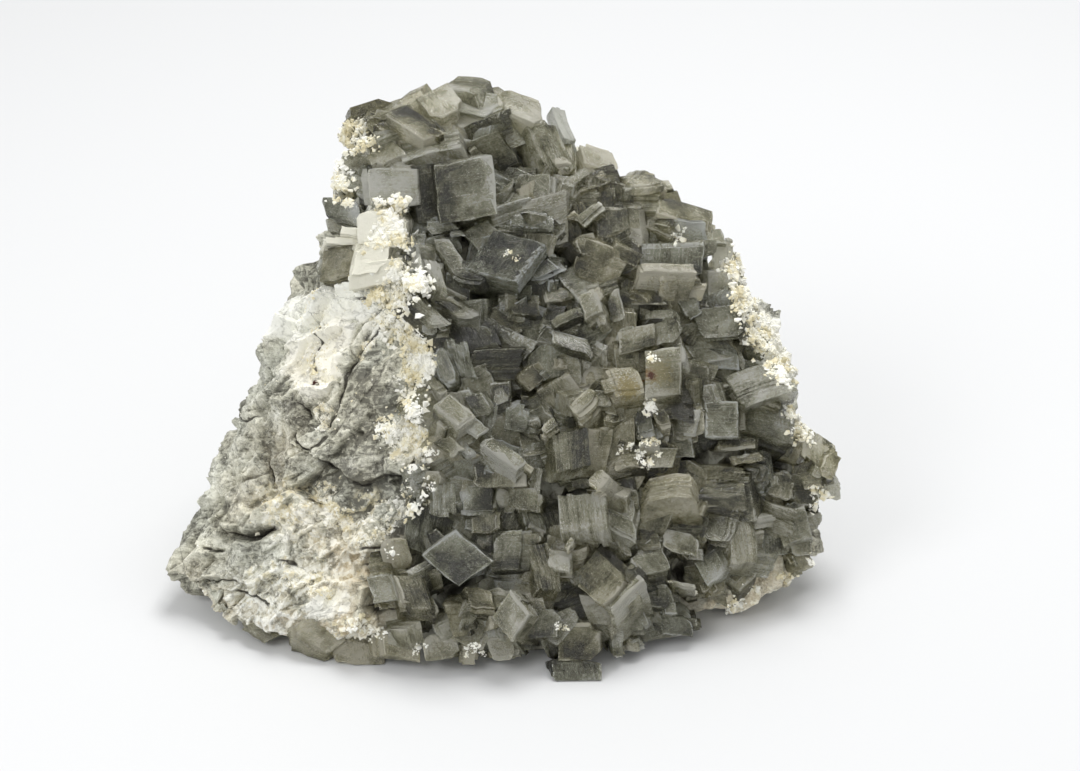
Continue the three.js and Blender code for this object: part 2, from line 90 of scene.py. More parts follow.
lens = bpy.data.cameras.new("camera")
lens.sensor_width = SENSOR_WIDTH
lens.lens = SENSOR_WIDTH * EYE_DISTANCE / SHEET_WIDTH
lens.clip_start = NEAREST_SEEN / METRE
camera = bpy.data.objects.new("camera", lens)
camera.location = EYE / METRE
camera.rotation_euler = Vector(OUT).to_track_quat("Z", "Y").to_euler()
bpy.context.scene.collection.objects.link(camera)
bpy.context.scene.camera = camera

# ---- Table and light ----------------------------------------------------------------------------------
# A white table under soft light: a broad lamp overhead, a weaker one in front and a pale room around.

TABLE_SIZE = 6000.0
TABLE_COLOUR = (0.715, 0.72, 0.725, 1)
TABLE_SHADOW = (0.7043, 0.7092, 0.7141, 1)  # the darker parts of its faint mottle
ROOM_COLOUR = (0.985, 0.99, 0.99, 1)
ROOM_STRENGTH = 0.6
# name: where it hangs, its width and depth, and its watts
LAMPS = {
    "overhead_lamp": ((170.0, 320.0, 1000.0), (600.0, 500.0), 8.0),
    "front_lamp": ((-480.0, -460.0, 620.0), (420.0, 320.0), 2.3),
}
LAMP_AIM = (0.0, 0.0, 55.0)


class Value:
    """A shader value. Arithmetic on it adds the Math nodes that it needs."""

    def __init__(self, look, socket):
        self.look = look
        self.socket = socket

    def math(self, operation, *others):
        inputs = dict(enumerate((self, *others)))
        return self.look.node("ShaderNodeMath", {"operation": operation}, inputs)

    def __add__(self, other):
        return self.math("ADD", other)

    def __sub__(self, other):
        return self.math("SUBTRACT", other)

    def __mul__(self, other):
        return self.math("MULTIPLY", other)

    def __truediv__(self, other):
        return self.math("DIVIDE", other)

    def __rsub__(self, other):
        return self.look.node("ShaderNodeMath", {"operation": "SUBTRACT"}, {0: other, 1: self})

    __radd__ = __add__
    __rmul__ = __mul__

    def least(self, other):
        return self.math("MINIMUM", other)

    def most(self, other):
        return self.math("MAXIMUM", other)

    def size(self):
        return self.math("ABSOLUTE")

    def step(self, low, high):
        """0 below low, 1 above high and a smooth rise between them. It falls where low is above high."""
        settings = {"interpolation_type": "SMOOTHSTEP"}
        falls = float(low > high)
        ends = {1: min(low, high), 2: max(low, high), 3: falls, 4: 1.0 - falls}
        return self.look.node("ShaderNodeMapRange", settings, {0: self, **ends})

    def output(self, number):
        """Another output of the node that this value comes from."""
        return Value(self.look, self.socket.node.outputs[number])


class Look:
    """A material with one Principled surface, made node by node."""

    def __init__(self, name, **constants):
        self.material = bpy.data.materials.new(name)
        self.material.use_nodes = True
        self.tree = self.material.node_tree
        self.surface = self.tree.nodes["Principled BSDF"]
        for socket, value in constants.items():
            self.surface.inputs[socket.replace("_", " ")].default_value = value

    def node(self, kind, settings=None, inputs=None, output=0):
        """A node of any kind, with its settings made first and then its sockets filled or linked."""
        node = self.tree.nodes.new(kind)
        for name, value in (settings or {}).items():
            setattr(node, name, value)
        for key, value in (inputs or {}).items():
            if isinstance(value, Value):
                self.tree.links.new(value.socket, node.inputs[key])
            else:
                node.inputs[key].default_value = value
        return Value(self, node.outputs[output])

    def attribute(self, name, output="Fac"):
        return self.node("ShaderNodeAttribute", {"attribute_name": name}, output=output)

    def position(self):
        return self.node("ShaderNodeNewGeometry", output="Position")

    def noise(self, place, scale, detail=3.0, roughness=0.55, distortion=0.0, output=0):
        """Noise from 0 to 1 with its middle at 0.5. Where place is a position, scale counts per metre."""
        named = {"Scale": scale, "Detail": detail, "Roughness": roughness, "Distortion": distortion}
        return self.node("ShaderNodeTexNoise", {}, {"Vector": place, **named}, output)

    def threads(self, noise, near, far):
        """1 along the lines where a noise crosses its middle, and 0 away from them."""
        return (noise - 0.5).size().step(far, near)

    def cells(self, place, scale=5.0, output="Color", **settings):
        """A pattern of cells, each with a colour of its own."""
        return self.node("ShaderNodeTexVoronoi", settings, {"Vector": place, "Scale": scale}, output)

    def split(self, vector, kind="XYZ"):
        """The first part of a vector or a colour. The other parts are its outputs 1 and 2."""
        return self.node("ShaderNodeSeparate" + kind, {}, {0: vector})

    def mix(self, share, first, second, blend="MIX"):
        """The first colour where share is 0 and the second, or both blended, where it is 1."""
        settings = {"data_type": "RGBA", "blend_type": blend}
        return self.node("ShaderNodeMix", settings, {0: share, 6: first, 7: second}, output=2)

    def vector(self, operation, *parts, output=0, **named):
        inputs = {**dict(enumerate(parts)), **named}
        return self.node("ShaderNodeVectorMath", {"operation": operation}, inputs, output)

    def measure(self, operation, *parts):
        """What a dot product or a distance gives: a number and not a vector."""
        return self.vector(operation, *parts, output="Value")

    def bump(self, height, strength, relief):
        """A normal that looks as if a height from 0 to 1 stood out by this many millimetres."""
        inputs = {"Strength": strength, "Distance": relief / METRE, "Height": height}
        return self.node("ShaderNodeBump", {}, inputs)

    def surface_takes(self, **links):
        for socket, value in links.items():
            self.tree.links.new(value.socket, self.surface.inputs[socket.replace("_", " ")])


def add_object(name, mesh):
    made = bpy.data.objects.new(name, mesh)
    bpy.context.scene.collection.objects.link(made)
    return made


table_look = Look("white_table", Roughness=0.6)
table_mottle = table_look.noise(table_look.position(), 3.0)
table_look.surface_takes(Base_Color=table_look.mix(table_mottle, TABLE_COLOUR, TABLE_SHADOW))
half = TABLE_SIZE / 2 / METRE
table_mesh = bpy.data.meshes.new("table")
table_corners = [(-half, -half, 0), (half, -half, 0), (half, half, 0), (-half, half, 0)]
table_mesh.from_pydata(table_corners, [], [(0, 1, 2, 3)])
table_mesh.materials.append(table_look.material)
table = add_object("table", table_mesh)

for name, (place, size, watts) in LAMPS.items():
    lamp = bpy.data.lights.new(name, "AREA")
    lamp.shape = "RECTANGLE"
    lamp.size, lamp.size_y = (side / METRE for side in size)
    lamp.energy = watts
    holder = add_object(name, lamp)
    holder.location = Vector(place) / METRE
    holder.rotation_euler = (Vector(place) - Vector(LAMP_AIM)).to_track_quat("Z", "Y").to_euler()

room = bpy.data.worlds.new("room")
room.use_nodes = True
room.node_tree.nodes["Background"].inputs["Color"].default_value = ROOM_COLOUR
room.node_tree.nodes["Background"].inputs["Strength"].default_value = ROOM_STRENGTH
bpy.context.scene.world = room
bpy.context.scene.view_settings.view_transform = "Standard"

# ---- Matrix -------------------------------------------------------------------------------------------
# The block of massive dolomite that the crystals grew on: pale grey and cream, broken all round, with its
# underside flat. It keeps the form of the CAD solid. Fracture facets, ledges, cracks and crumbs of white
# crust are raised on that form, finest on the bare flank that faces the eye.

FLANK_GRAIN = 0.42  # length of the mesh edges on the bare flank
RIM_GRAIN = 0.6  # beside the crystals on the right
BROKEN_GRAIN = 1.25  # on the other sides
COVERED_GRAIN = 2.4  # under the crystals
FORM_GRAIN = 3.0  # the block is smoothed at this size before it gets its detail
EDGE_ALLOWANCE = 1.5  # an edge is split where it is this many grains long
# Stone further behind the sheet than this is out of sight, and sooner away from the middle.
SIGHT_DEPTH, SIGHT_SLOPE = -44.0, 0.06
COVERED_DEPTH = -40.0  # crystals cover nothing further behind the sheet than this
FORM_ROUNDS = 14
BASE_HEIGHT = 0.02  # what lies lower than this is the flat base
# Three sizes of broken facet, and how high each stands.
LARGE_FACETS, LARGE_RELIEF = 10.5, 11.0
MIDDLE_FACETS, MIDDLE_RELIEF = 3.6, 4.6
SMALL_FACETS, SMALL_RELIEF = 1.7, 0.9
# In facet sizes: how far a facet is raised or sunk as a whole, and how wide the bend between two is.
FACET_STAGGER, FACET_BEND = 0.35, 0.09
DRAWING_OUT = 0.55  # how much longer facets are along the grain of the stone
FINE_RELIEF = 0.22
RIDGE_RELIEF = 0.35  # ridges along the grain, on cleaved stone
RIDGE_SIZES = (9.0, 2.0, 1.1)  # along the grain, outwards and across
CRACK_WAVER, CRACK_DEPTH, CRACK_WIDTH, CRACK_TAPER = 0.5, 0.8, 0.4, 1.2
LEDGE_RISE = 0.35  # a ledge reaches its height over this distance
HOLLOW_DEPTH = 5.0
SET_BACK = 1.4  # the detail stands out of the form, so the form is set back first
FADE_HEIGHT = 2.5  # detail fades out towards the ground below this height
FULL_RIDGE_LIGHT = 0.12  # an edge that stands out by this much takes the fullest painted highlight
BACK_LIMIT, BACK_SHARE = 55.5, 0.6  # this share of what the facets raise past the back is lowered again
SHARP_STONE = math.radians(28)  # edges of the stone that turn by more than this are sharp
# The foot of the block draws in at the ground and stands out above it: heights, and shares of the way in.
UNDERCUT = ((0, 1.5, 3, 5.5, 9, 18), (0.10, 0.06, -0.01, -0.045, -0.04, 0))
UNDERCUT_PLACES = ((-60, -30, 0, 30, 60), (1.0, 0.9, 0.5, 0.6, 0.5))  # how strongly, from left to right

# The crystals cover the face inside this outline, as (across, up).
DRUSE_OUTLINE = (
    (-36, 121), (-38, 128), (-41, 143), (-24, 149), (-12, 150), (6, 144), (24, 131), (48, 118),
    (53, 100), (60, 83), (72, 66), (75, 56), (75, 46), (71, 38), (63, 33), (53, 25), (44, 16), (26, 6),
    (8, 3), (-14, 4), (-29, 8), (-33, 19), (-33, 31), (-28, 44), (-20, 60), (-19, 78), (-22, 90),
    (-25, 98), (-24, 110), (-30, 119),
)
# Forms on the bare flank: a path of (across, up) places, how far the form reaches from it, and its height.
# A negative height is a hollow or a crack.
FLANK_FORMS = (
    (((-37, 82), (-35, 66), (-36, 60)), 9.0, 2.6),  # smooth cleaved swell
    (((-34, 91), (-40, 80), (-43, 74), (-46, 65)), 0.9, -1.7),  # crack along its left side
    (((-50, 96), (-41, 100), (-34, 103)), 1.8, 3.3),  # white spur
    (((-54, 100), (-47, 103), (-42, 105)), 2.2, -1.8),  # hollow above it
    (((-45, 92), (-49, 79)), 4.0, 1.4),  # crumbly white bank
    (((-52, 90), (-55, 82), (-51, 76)), 0.8, -1.2),
    (((-66, 45), (-65, 49)), 5.0, 2.6),  # rounded boss
    (((-72, 38), (-66, 37), (-62, 38), (-58, 39.5)), 1.1, -3.4),  # dark crevice under the boss
    (((-63, 57), (-60.5, 50)), 0.7, -2.0),
    (((-55, 63), (-53, 60), (-50, 58.5)), 0.6, -1.6),
    (((-51, 46.5), (-47.5, 45.2)), 0.5, -1.3),
    (((-59, 47.2), (-56, 47)), 0.5, -1.3),
    (((-76, 34), (-72, 33.8)), 0.5, -1.2),
    (((-56, 41.5), (-56, 41)), 0.6, -1.5),
    (((-52, 41.5), (-52, 41)), 0.6, -1.5),
    (((-49.2, 75.4), (-48.4, 75.6)), 0.8, -2.2),  # pit with a dark red fill
    (((-52, 69), (-51, 68)), 1.3, -1.6),
    (((-38, 63.5), (-37, 63)), 0.5, -1.2),
    (((-42, 9.6), (-41, 9.2)), 0.9, -1.6),
    (((-38, 11.8), (-37.6, 11.6)), 0.7, -1.5),
    (((-58, 12), (-47, 18), (-40, 15)), 5.0, 1.2),
    (((50, 16), (60, 20), (68, 25)), 5.0, 2.5),  # tan foot under the right-hand crystals
)
# Ledges: a path walked with the raised side on its left, how far the ledge reaches, and its height.
FLANK_LEDGES = (
    # overhang
    (((-26, 52), (-30, 53.5), (-33, 51.5), (-37, 50.5), (-41, 52), (-44, 55), (-48, 57)), 6.0, -2.2),
    (((-78, 26.5), (-71, 27), (-67, 26)), 3.5, 0.8),
    (((-68, 24), (-62, 23), (-59, 21.5)), 3.0, 0.9),
    (((-84, 27), (-80, 26)), 3.0, 0.7),
    (((-30, 33.5), (-38, 33)), 2.5, -0.9),
    (((50, 15), (60, 20), (72, 27)), 2.0, 0.8),
    (((52, 19), (62, 24), (74, 31)), 2.0, 0.8),
    (((-50, 96), (-41, 99), (-31, 101)), 4.0, 0.8),
)
# Dark cracks, as paths.
FLANK_CRACKS = (
    ((-31, 93), (-33.5, 88), (-37, 84.5), (-40, 80.5), (-42, 77), (-43.5, 73), (-44.5, 68), (-46, 64)),
    ((-39.5, 80), (-41.5, 78.8), (-43, 75.5)),
    ((-49, 92), (-48, 87), (-49.5, 82), (-48.8, 78)),
    ((-50.5, 75.8), (-48.5, 75.2)),
    ((-54, 71.5), (-52.5, 70.8), (-51, 68.2), (-49.5, 67)),
    ((-55.2, 63.3), (-53.5, 61), (-52, 59.2), (-49.5, 59), (-47.5, 60.5), (-45.5, 62.5)),
    ((-62.8, 57.2), (-61.8, 54), (-60.5, 50.5)),
    ((-48, 57), (-44.5, 54.6), (-41, 52.6), (-38, 50.3), (-34, 50.8), (-31, 52.5), (-27, 52)),
    ((-71.5, 38.3), (-68.5, 37.4), (-66, 37.2), (-63, 37.6), (-60.5, 39), (-58, 39.5)),
    ((-66, 37), (-63.5, 36.2), (-61.5, 37.2)),
    ((-76.5, 34.2), (-74, 34), (-71.5, 33.4)),
    ((-83, 27.2), (-78, 26), (-74, 26.6), (-70, 26.8), (-67, 26)),
    ((-80, 22.6), (-75, 21.8)),
    ((-68.5, 24.2), (-65, 23.2), (-62, 23), (-59.5, 21.6), (-58, 20.2)),
    ((-51.3, 47), (-49.5, 45.8), (-47.5, 45.4)),
    ((-56.8, 41.8), (-55.8, 41.2)),
    ((-52.5, 41.8), (-51.6, 41.4)),
    ((-38, 63.4), (-36.5, 62.8)),
    ((-42.8, 9.9), (-40.8, 9.2)),
    ((-38.6, 12), (-37.4, 11.4)),
    ((-38.5, 34.2), (-34, 34.4), (-30, 34.6)),
    ((-37.5, 30.3), (-33, 30.4), (-29.5, 30.2)),
    ((-35.5, 20.2), (-31, 19.8), (-27, 19.4)),
    ((-64, 91), (-61.5, 88.5), (-60, 86)),
    ((-70, 67), (-66, 66.4), (-63, 68)),
    ((-58, 31.5), (-55, 31), (-53, 29.6)),
    ((-40, 97.2), (-37, 96.8), (-34.4, 95.8)),
    ((-46.5, 105.2), (-43.5, 104.4), (-41, 104.8)),
)
# Where the outline of the block stands back: a path, a reach and how far.
OUTLINE_STEPS = (
    (((-48, 122), (-54, 110), (-62, 94), (-66, 82)), 6.0, 2.6),
    (((-46, 119), (-51, 109)), 4.5, 8.0),
    (((84, 48), (80, 40), (79, 30), (73, 20)), 7.0, 4.0),
    (((58, 112), (62, 100)), 5.0, 2.0),
)
# Pale stone: a path, how far it reaches, and how pale it is. A value below 0 makes the stone greyer.
PALE_PATCHES = (
    (((-35, 118), (-34, 103)), 5.5, 1.3),
    (((-57, 94.5), (-50, 96.5), (-41, 100), (-34, 103)), 2.8, 1.3),
    (((-52, 92), (-47, 88), (-49, 80)), 7.5, 1.9),
    (((-54, 103), (-48, 106), (-41, 107)), 3.4, -0.8),
    (((-46, 93), (-38, 95), (-33, 90)), 4.0, 0.9),
    (((-66, 86), (-62, 76)), 4.0, 0.3),
    (((-60, 66), (-56, 56)), 5.0, 0.3),
    (((-23, 90), (-23, 70)), 3.0, 0.9),
    (((-30, 73), (-28, 76)), 2.6, 0.55),
    (((-27, 65), (-25, 58)), 2.5, 0.7),
    (((-56, 46), (-44, 38), (-40, 34)), 6.0, 0.35),
    (((-58, 36), (-44, 30)), 7.0, 0.4),
    (((-68, 27), (-60, 18), (-54, 15)), 6.0, 0.5),
    (((-47, 20), (-41, 21)), 3.0, 0.9),
    (((-42, 9), (-20, 10)), 5.0, 0.9),
    (((-42, 140), (-43, 122)), 4.0, 0.9),
    (((57, 108), (62, 94), (74, 66)), 5.0, 1.2),
    (((-78, 24), (-70, 18)), 5.0, 0.3),
    (((52, 15), (74, 28)), 5.0, 0.5),
    (((-40, 79), (-33, 68), (-35, 61)), 6.5, -0.9),
    (((-45, 56), (-35, 49.5)), 3.0, -1.0),
    (((-42, 45), (-36, 46)), 4.0, -0.6),
    (((-57, 48), (-53, 50)), 4.0, -0.6),
    (((-60, 74), (-54, 72), (-53, 66)), 3.0, -0.5),
    (((-70, 37), (-60, 38)), 2.5, -0.6),
    (((-76, 32), (-66, 31)), 4.0, -0.3),
    (((-35, 84), (-33, 78)), 3.0, -0.5),
)
# Where cream veins part the stone into small grey panes: a path, a reach and how surely.
VEINED_PATCHES = (
    (((-58, 46), (-50, 40), (-42, 34), (-48, 26)), 7.0, 1.0),
    (((-60, 26), (-52, 18)), 5.0, 0.7),
    (((-36, 46), (-30, 38)), 4.0, 0.8),
    (((-48, 88), (-50, 80)), 3.0, 0.6),
)
# White and cream crust: a path, how far the crust reaches from it, and how thick it lies, from 0 to 1.
CRUST_PATCHES = (
    (((-42, 139), (-43, 130), (-42, 124)), 3.2, 1.0),
    (((-37, 135.5), (-34, 136)), 1.6, 1.0),
    (((-31, 119), (-29, 118)), 2.0, 1.0),
    (((-35, 117), (-34, 105)), 5.0, 0.35),
    (((-28, 113), (-26.5, 111)), 1.8, 1.0),
    (((-26, 102), (-24.5, 98.5)), 2.0, 1.0),
    (((-33, 99), (-29.5, 96.5)), 2.0, 0.9),
    (((-50, 96.5), (-41, 100), (-33, 102.5)), 2.4, 0.9),
    (((-52, 93), (-48, 90), (-49, 79)), 5.5, 0.95),
    (((-47, 68), (-47, 65)), 2.6, 0.8),
    (((-33, 91), (-34, 87), (-38, 83)), 1.5, 0.7),
    (((-30, 94), (-26, 88), (-22, 85), (-24, 78), (-23, 72), (-24, 66), (-26, 61), (-22, 58)), 2.0, 1.0),
    (((-33, 66), (-28, 62), (-27, 56)), 2.4, 0.6),
    (((-60, 46), (-54, 40), (-48, 47), (-42, 42), (-38, 37)), 5.0, 0.7),
    (((-58, 30), (-50, 28), (-47, 24)), 4.5, 0.6),
    (((-64, 29), (-58, 21)), 2.5, 0.55),
    (((-43, 13), (-36, 10), (-30, 13)), 3.5, 0.6),
    (((-30, 32), (-28.5, 31.5)), 1.4, 1.0),
    (((-26, 45), (-22, 48)), 1.6, 0.8),
    (((57, 109), (59, 101), (61, 92), (64, 86)), 3.6, 1.0),
    (((65, 87), (70, 80), (72, 76)), 3.4, 1.0),
    (((73, 70), (77, 61)), 2.6, 0.9),
    (((80, 48), (78, 42)), 2.0, 0.7),
    (((64, 24), (73, 29)), 2.0, 0.5),
)
# Warm tan stone: a path, a reach and how strong the tan is.
TAN_PATCHES = (
    (((-58, 14), (-46, 18), (-38, 14)), 8.0, 1.2),
    (((-46, 33), (-38, 28)), 6.0, 1.2),
    (((-78, 22), (-62, 20)), 7.0, 0.7),
    (((-66, 46), (-60, 60)), 7.0, 0.3),
    (((50, 20), (62, 24), (74, 28)), 7.0, 0.9),
    (((-53, 95), (-45, 98)), 2.2, 0.9),
    (((-60, 92), (-56, 96)), 4.0, 0.6),
)
# Grey, smooth, glassy stone: a path, a reach and how smooth it is, from 0 to 1.
CLEAVED_PATCHES = (
    (((-37, 80), (-34, 68), (-38, 56)), 8.0, 1.0),
    (((-54, 70), (-47, 62)), 4.0, 0.6),
    (((-70, 60), (-62, 80)), 5.0, 0.4),
    (((-72, 34), (-62, 34)), 5.0, 0.5),
)

# Open hollows between the crystals, as (across, up, reach). The stone in them is sunk, and painted dark as
# shade.
HOLLOWS = (
    (-8, 99, 3.2), (-3.5, 98, 3.4), (-6, 96, 2.5), (2.5, 130, 2.6), (-21.5, 121, 1.8),
    (-10.5, 113.3, 1.8), (12.7, 107.3, 1.5), (17.3, 114, 0.8), (33.2, 111.5, 1), (35, 111, 1),
    (47, 100.3, 2.2), (41, 100.3, 1.4), (37.5, 100.3, 1.4), (1.2, 74.6, 1.9), (5.8, 73, 1.9),
    (61, 71.3, 1.3), (64, 72, 1.3), (46.5, 57, 1.8), (49, 58, 1.2), (56.5, 54.6, 1.8), (65, 57.6, 1.4),
    (67.5, 56, 1.5), (69, 46.6, 1.3), (15.5, 48.6, 1.3), (10.3, 45.8, 0.8), (-24.4, 43.4, 1.2),
    (-15.5, 39.2, 0.9), (23.5, 36.8, 1.3), (27.2, 34.2, 1.3), (-21.5, 28.4, 1.8), (-16.8, 26, 1.7),
    (-14, 23, 2.4), (-11.3, 25, 1.3), (-20.5, 18.4, 2.4), (-7, 29, 0.8), (44.4, 31.7, 1.1),
    (42, 28, 1.2), (44, 27.2, 1.2), (44.5, 22.7, 0.8), (26, 25.5, 0.9), (-32.5, 19.8, 1.3),
)


def lattice(cells, seed):
    """A repeatable value from 0 to 1 for each row of three whole numbers."""
    i, j, k = (cells[:, n].astype(np.int64).astype(np.uint32) for n in range(3))
    mixed = i * np.uint32(374761393) + j * np.uint32(668265263) + k * np.uint32(2246822519)
    mixed = mixed + np.uint32(seed * 97531 + 12345)
    mixed = (mixed ^ (mixed >> np.uint32(13))) * np.uint32(1274126177)
    mixed = (mixed ^ (mixed >> np.uint32(16))) * np.uint32(2654435761)
    return (mixed ^ (mixed >> np.uint32(15))) / 4294967295.0


def smooth_noise(points, size, seed):
    """Noise from -1 to 1 whose waves are about this size."""
    scaled = points / size
    cells = np.floor(scaled)
    share = scaled - cells
    share = share * share * (3 - 2 * share)
    total = np.zeros(len(points))
    for corner in np.ndindex(2, 2, 2):
        weight = np.prod(np.where(corner, share, 1 - share), axis=1)
        total += weight * lattice(cells + corner, seed)
    return total * 2 - 1


def facets(points, size, seed):
    """Broken facets: a height in sizes for each point, and its facet's own value from 0 to 1.

    Each seed point in a shaken grid owns the points nearest to it and tilts them its own way. Where two
    facets meet, their heights run together over a short way.
    """
    scaled = points / size
    cells = np.floor(scaled)
    nearest = np.full(len(points), 9.0)
    second = np.full(len(points), 9.0)
    heights = np.zeros((len(points), 2))
    own = np.zeros(len(points))
    for shift in np.ndindex(3, 3, 3):
        cell = cells + shift - 1
        seeds = cell + np.stack([lattice(cell, seed + n) for n in range(3)], axis=1)
        tilt = np.stack([lattice(cell, seed + 3 + n) for n in range(3)], axis=1) - 0.5
        away = scaled - seeds
        distance = np.linalg.norm(away, axis=1)
        height = (away * tilt).sum(axis=1) + FACET_STAGGER * (lattice(cell, seed + 6) - 0.5)
        closer = distance < nearest
        between = ~closer & (distance < second)
        second = np.where(closer, nearest, np.where(between, distance, second))
        heights[:, 1] = np.where(closer, heights[:, 0], np.where(between, height, heights[:, 1]))
        nearest = np.where(closer, distance, nearest)
        heights[:, 0] = np.where(closer, height, heights[:, 0])
        own = np.where(closer, lattice(cell, seed + 7), own)
    blend = 0.5 * np.clip(1 - (second - nearest) / FACET_BEND, 0, 1)
    return heights[:, 0] * (1 - blend) + heights[:, 1] * blend, own


def path_distance(path, places):
    """How far each place is from a path, and whether it lies left (1) or right (-1) of it."""
    best = np.full(len(places), 1e9)
    side = np.ones(len(places))
    for start, end in zip(path[:-1], path[1:]):
        start, end = np.array(start, float), np.array(end, float)
        along = end - start
        share = np.clip((places - start) @ along / (along @ along), 0, 1)
        away = places - start - share[:, None] * along
        distance = np.linalg.norm(away, axis=1)
        closer = distance < best
        turn = along[0] * (places[:, 1] - start[1]) - along[1] * (places[:, 0] - start[0])
        side = np.where(closer, np.sign(turn), side)
        best = np.where(closer, distance, best)
    return best, side


def patches(table, places):
    """How strongly each place lies in the patches of a table."""
    highest = np.zeros(len(places))
    lowest = np.zeros(len(places))
    for path, reach, most in table:
        distance, _ = path_distance(path, places)
        here = most * np.exp(-((distance / reach) ** 2))
        highest = np.maximum(highest, here)
        lowest = np.minimum(lowest, here)
    return highest + lowest


def nearest_crack(places):
    """How far each place is to one side of the nearest crack, and how surely it lies beside that crack."""
    offset = np.full(len(places), 9.0)
    beside = np.zeros(len(places))
    for path in FLANK_CRACKS:
        distance, side = path_distance(path, places)
        ends = [np.linalg.norm(places - point, axis=1) for point in (path[0], path[-1])]
        for end in ends:
            # a place past the end of a crack counts as further away than one beside it
            distance = np.where(end < distance + 0.01, distance + 0.6, distance)
        closer = distance < np.abs(offset)
        offset = np.where(closer, distance * side, offset)
        beside = np.where(closer, np.clip(np.minimum(*ends) / CRACK_TAPER, 0, 1), beside)
    return np.clip(offset, -4, 4), beside


def inside(outline, places):
    """Whether each place lies inside an outline."""
    across, up = places[:, 0], places[:, 1]
    found = np.zeros(len(places), bool)
    for (x0, y0), (x1, y1) in zip(outline, outline[1:] + outline[:1]):
        crosses = (y0 > up) != (y1 > up)
        found ^= crosses & (across < x0 + (up - y0) * (x1 - x0) / ((y1 - y0) or 1e-9))
    return found


def face_edges(faces):
    """The two ends of each edge of each face in turn, the lower number first."""
    return np.sort(faces[:, [[0, 1], [1, 2], [2, 0]]].reshape(-1, 2), axis=1)


def refined(points, faces, wanted):
    """Splits every edge longer than wanted(middle) in two, again and again, and keeps the mesh closed."""
    while True:
        unique, which = np.unique(face_edges(faces), axis=0, return_inverse=True)
        which = which.reshape(-1, 3)
        middles = points[unique].mean(axis=1)
        long = np.linalg.norm(points[unique[:, 0]] - points[unique[:, 1]], axis=1) > wanted(middles)
        if not long.any():
            return points, faces
        number = np.full(len(unique), -1)
        number[long] = len(points) + np.arange(long.sum())
        points = np.concatenate((points, middles[long]))
        cut = number[which]
        count = (cut >= 0).sum(axis=1)
        pieces = [faces[count == 0]]
        for n in (1, 2, 3):
            face, mids = faces[count == n], cut[count == n]
            # turn each face so that its cut edges come first
            first = np.argmax(mids >= 0, axis=1) if n == 1 else np.argmin(mids, axis=1) + 1
            order = (first[:, None] + np.arange(3)) % 3
            a, b, c = np.take_along_axis(face, order, 1).T
            ab, bc, ca = np.take_along_axis(mids, order, 1).T
            if n == 1:
                made = ((a, ab, c), (ab, b, c))
            elif n == 2:
                made = ((a, ab, c), (ab, bc, c), (ab, b, bc))
            else:
                made = ((a, ab, ca), (ab, b, bc), (bc, c, ca), (ab, bc, ca))
            pieces += [np.stack(corners, axis=1) for corners in made]
        faces = np.concatenate(pieces)


def point_normals(points, faces):
    """The way out at each point of a mesh, from all of its faces there by their size."""
    corners = points[faces]
    normal = np.cross(corners[:, 1] - corners[:, 0], corners[:, 2] - corners[:, 0])
    total = np.zeros_like(points)
    for n in range(3):
        np.add.at(total, faces[:, n], normal)
    return total / np.linalg.norm(total, axis=1, keepdims=True)


def smoothed(points, faces, rounds, held):
    """Moves each point towards its neighbours, round by round. Held points stay at their height."""
    edges = np.unique(face_edges(faces), axis=0)
    count = np.bincount(edges.ravel(), minlength=len(points))
    for _ in range(rounds):
        total = np.zeros_like(points)
        np.add.at(total, edges[:, 0], points[edges[:, 1]])
        np.add.at(total, edges[:, 1], points[edges[:, 0]])
        moved = 0.5 * points + 0.5 * total / count[:, None]
        moved[held, 2] = points[held, 2]
        points = moved
    return points


def tree_of(points, faces):
    """A mesh to cast sight lines at."""
    return BVHTree.FromPolygons(points.tolist(), faces.tolist())


def mesh_arrays(mesh):
    """A triangle mesh's points in millimetres, and its faces."""
    points = np.empty(len(mesh.vertices) * 3)
    mesh.vertices.foreach_get("co", points)
    mesh.calc_loop_triangles()
    faces = np.empty(len(mesh.loop_triangles) * 3, np.int64)
    mesh.loop_triangles.foreach_get("vertices", faces)
    return points.reshape(-1, 3) * METRE, faces.reshape(-1, 3)


def merged(points, faces):
    """Joins points that lie in the same place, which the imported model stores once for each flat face."""
    kept, which = np.unique(np.round(points, 3), axis=0, return_inverse=True)
    return kept, which.reshape(-1)[faces]


def new_mesh(name, points, faces):
    """A Blender mesh in metres from triangles in millimetres."""
    mesh = bpy.data.meshes.new(name)
    mesh.vertices.add(len(points))
    mesh.vertices.foreach_set("co", (points / METRE).ravel())
    mesh.loops.add(faces.size)
    mesh.loops.foreach_set("vertex_index", faces.ravel())
    mesh.polygons.add(len(faces))
    mesh.polygons.foreach_set("loop_start", np.arange(0, faces.size, 3))
    mesh.update(calc_edges=True)
    return mesh


def store(mesh, domain, **values):
    """Keeps numbers or vectors on a mesh for its material."""
    for name, value in values.items():
        kind, field = ("FLOAT", "value") if value.ndim == 1 else ("FLOAT_VECTOR", "vector")
        mesh.attributes.new(name, kind, domain).data.foreach_set(field, value.ravel().astype(np.float32))


def faces_the_eye(points, normals):
    """1 where a surface faces the eye, 0 where the eye sees it edge-on and -1 where it faces away."""
    towards = EYE - points
    return (normals * towards).sum(axis=1) / np.linalg.norm(towards, axis=1)


block_points, block_faces = merged(*mesh_arrays(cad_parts["matrix"].data))
block_tree = tree_of(block_points, block_faces)


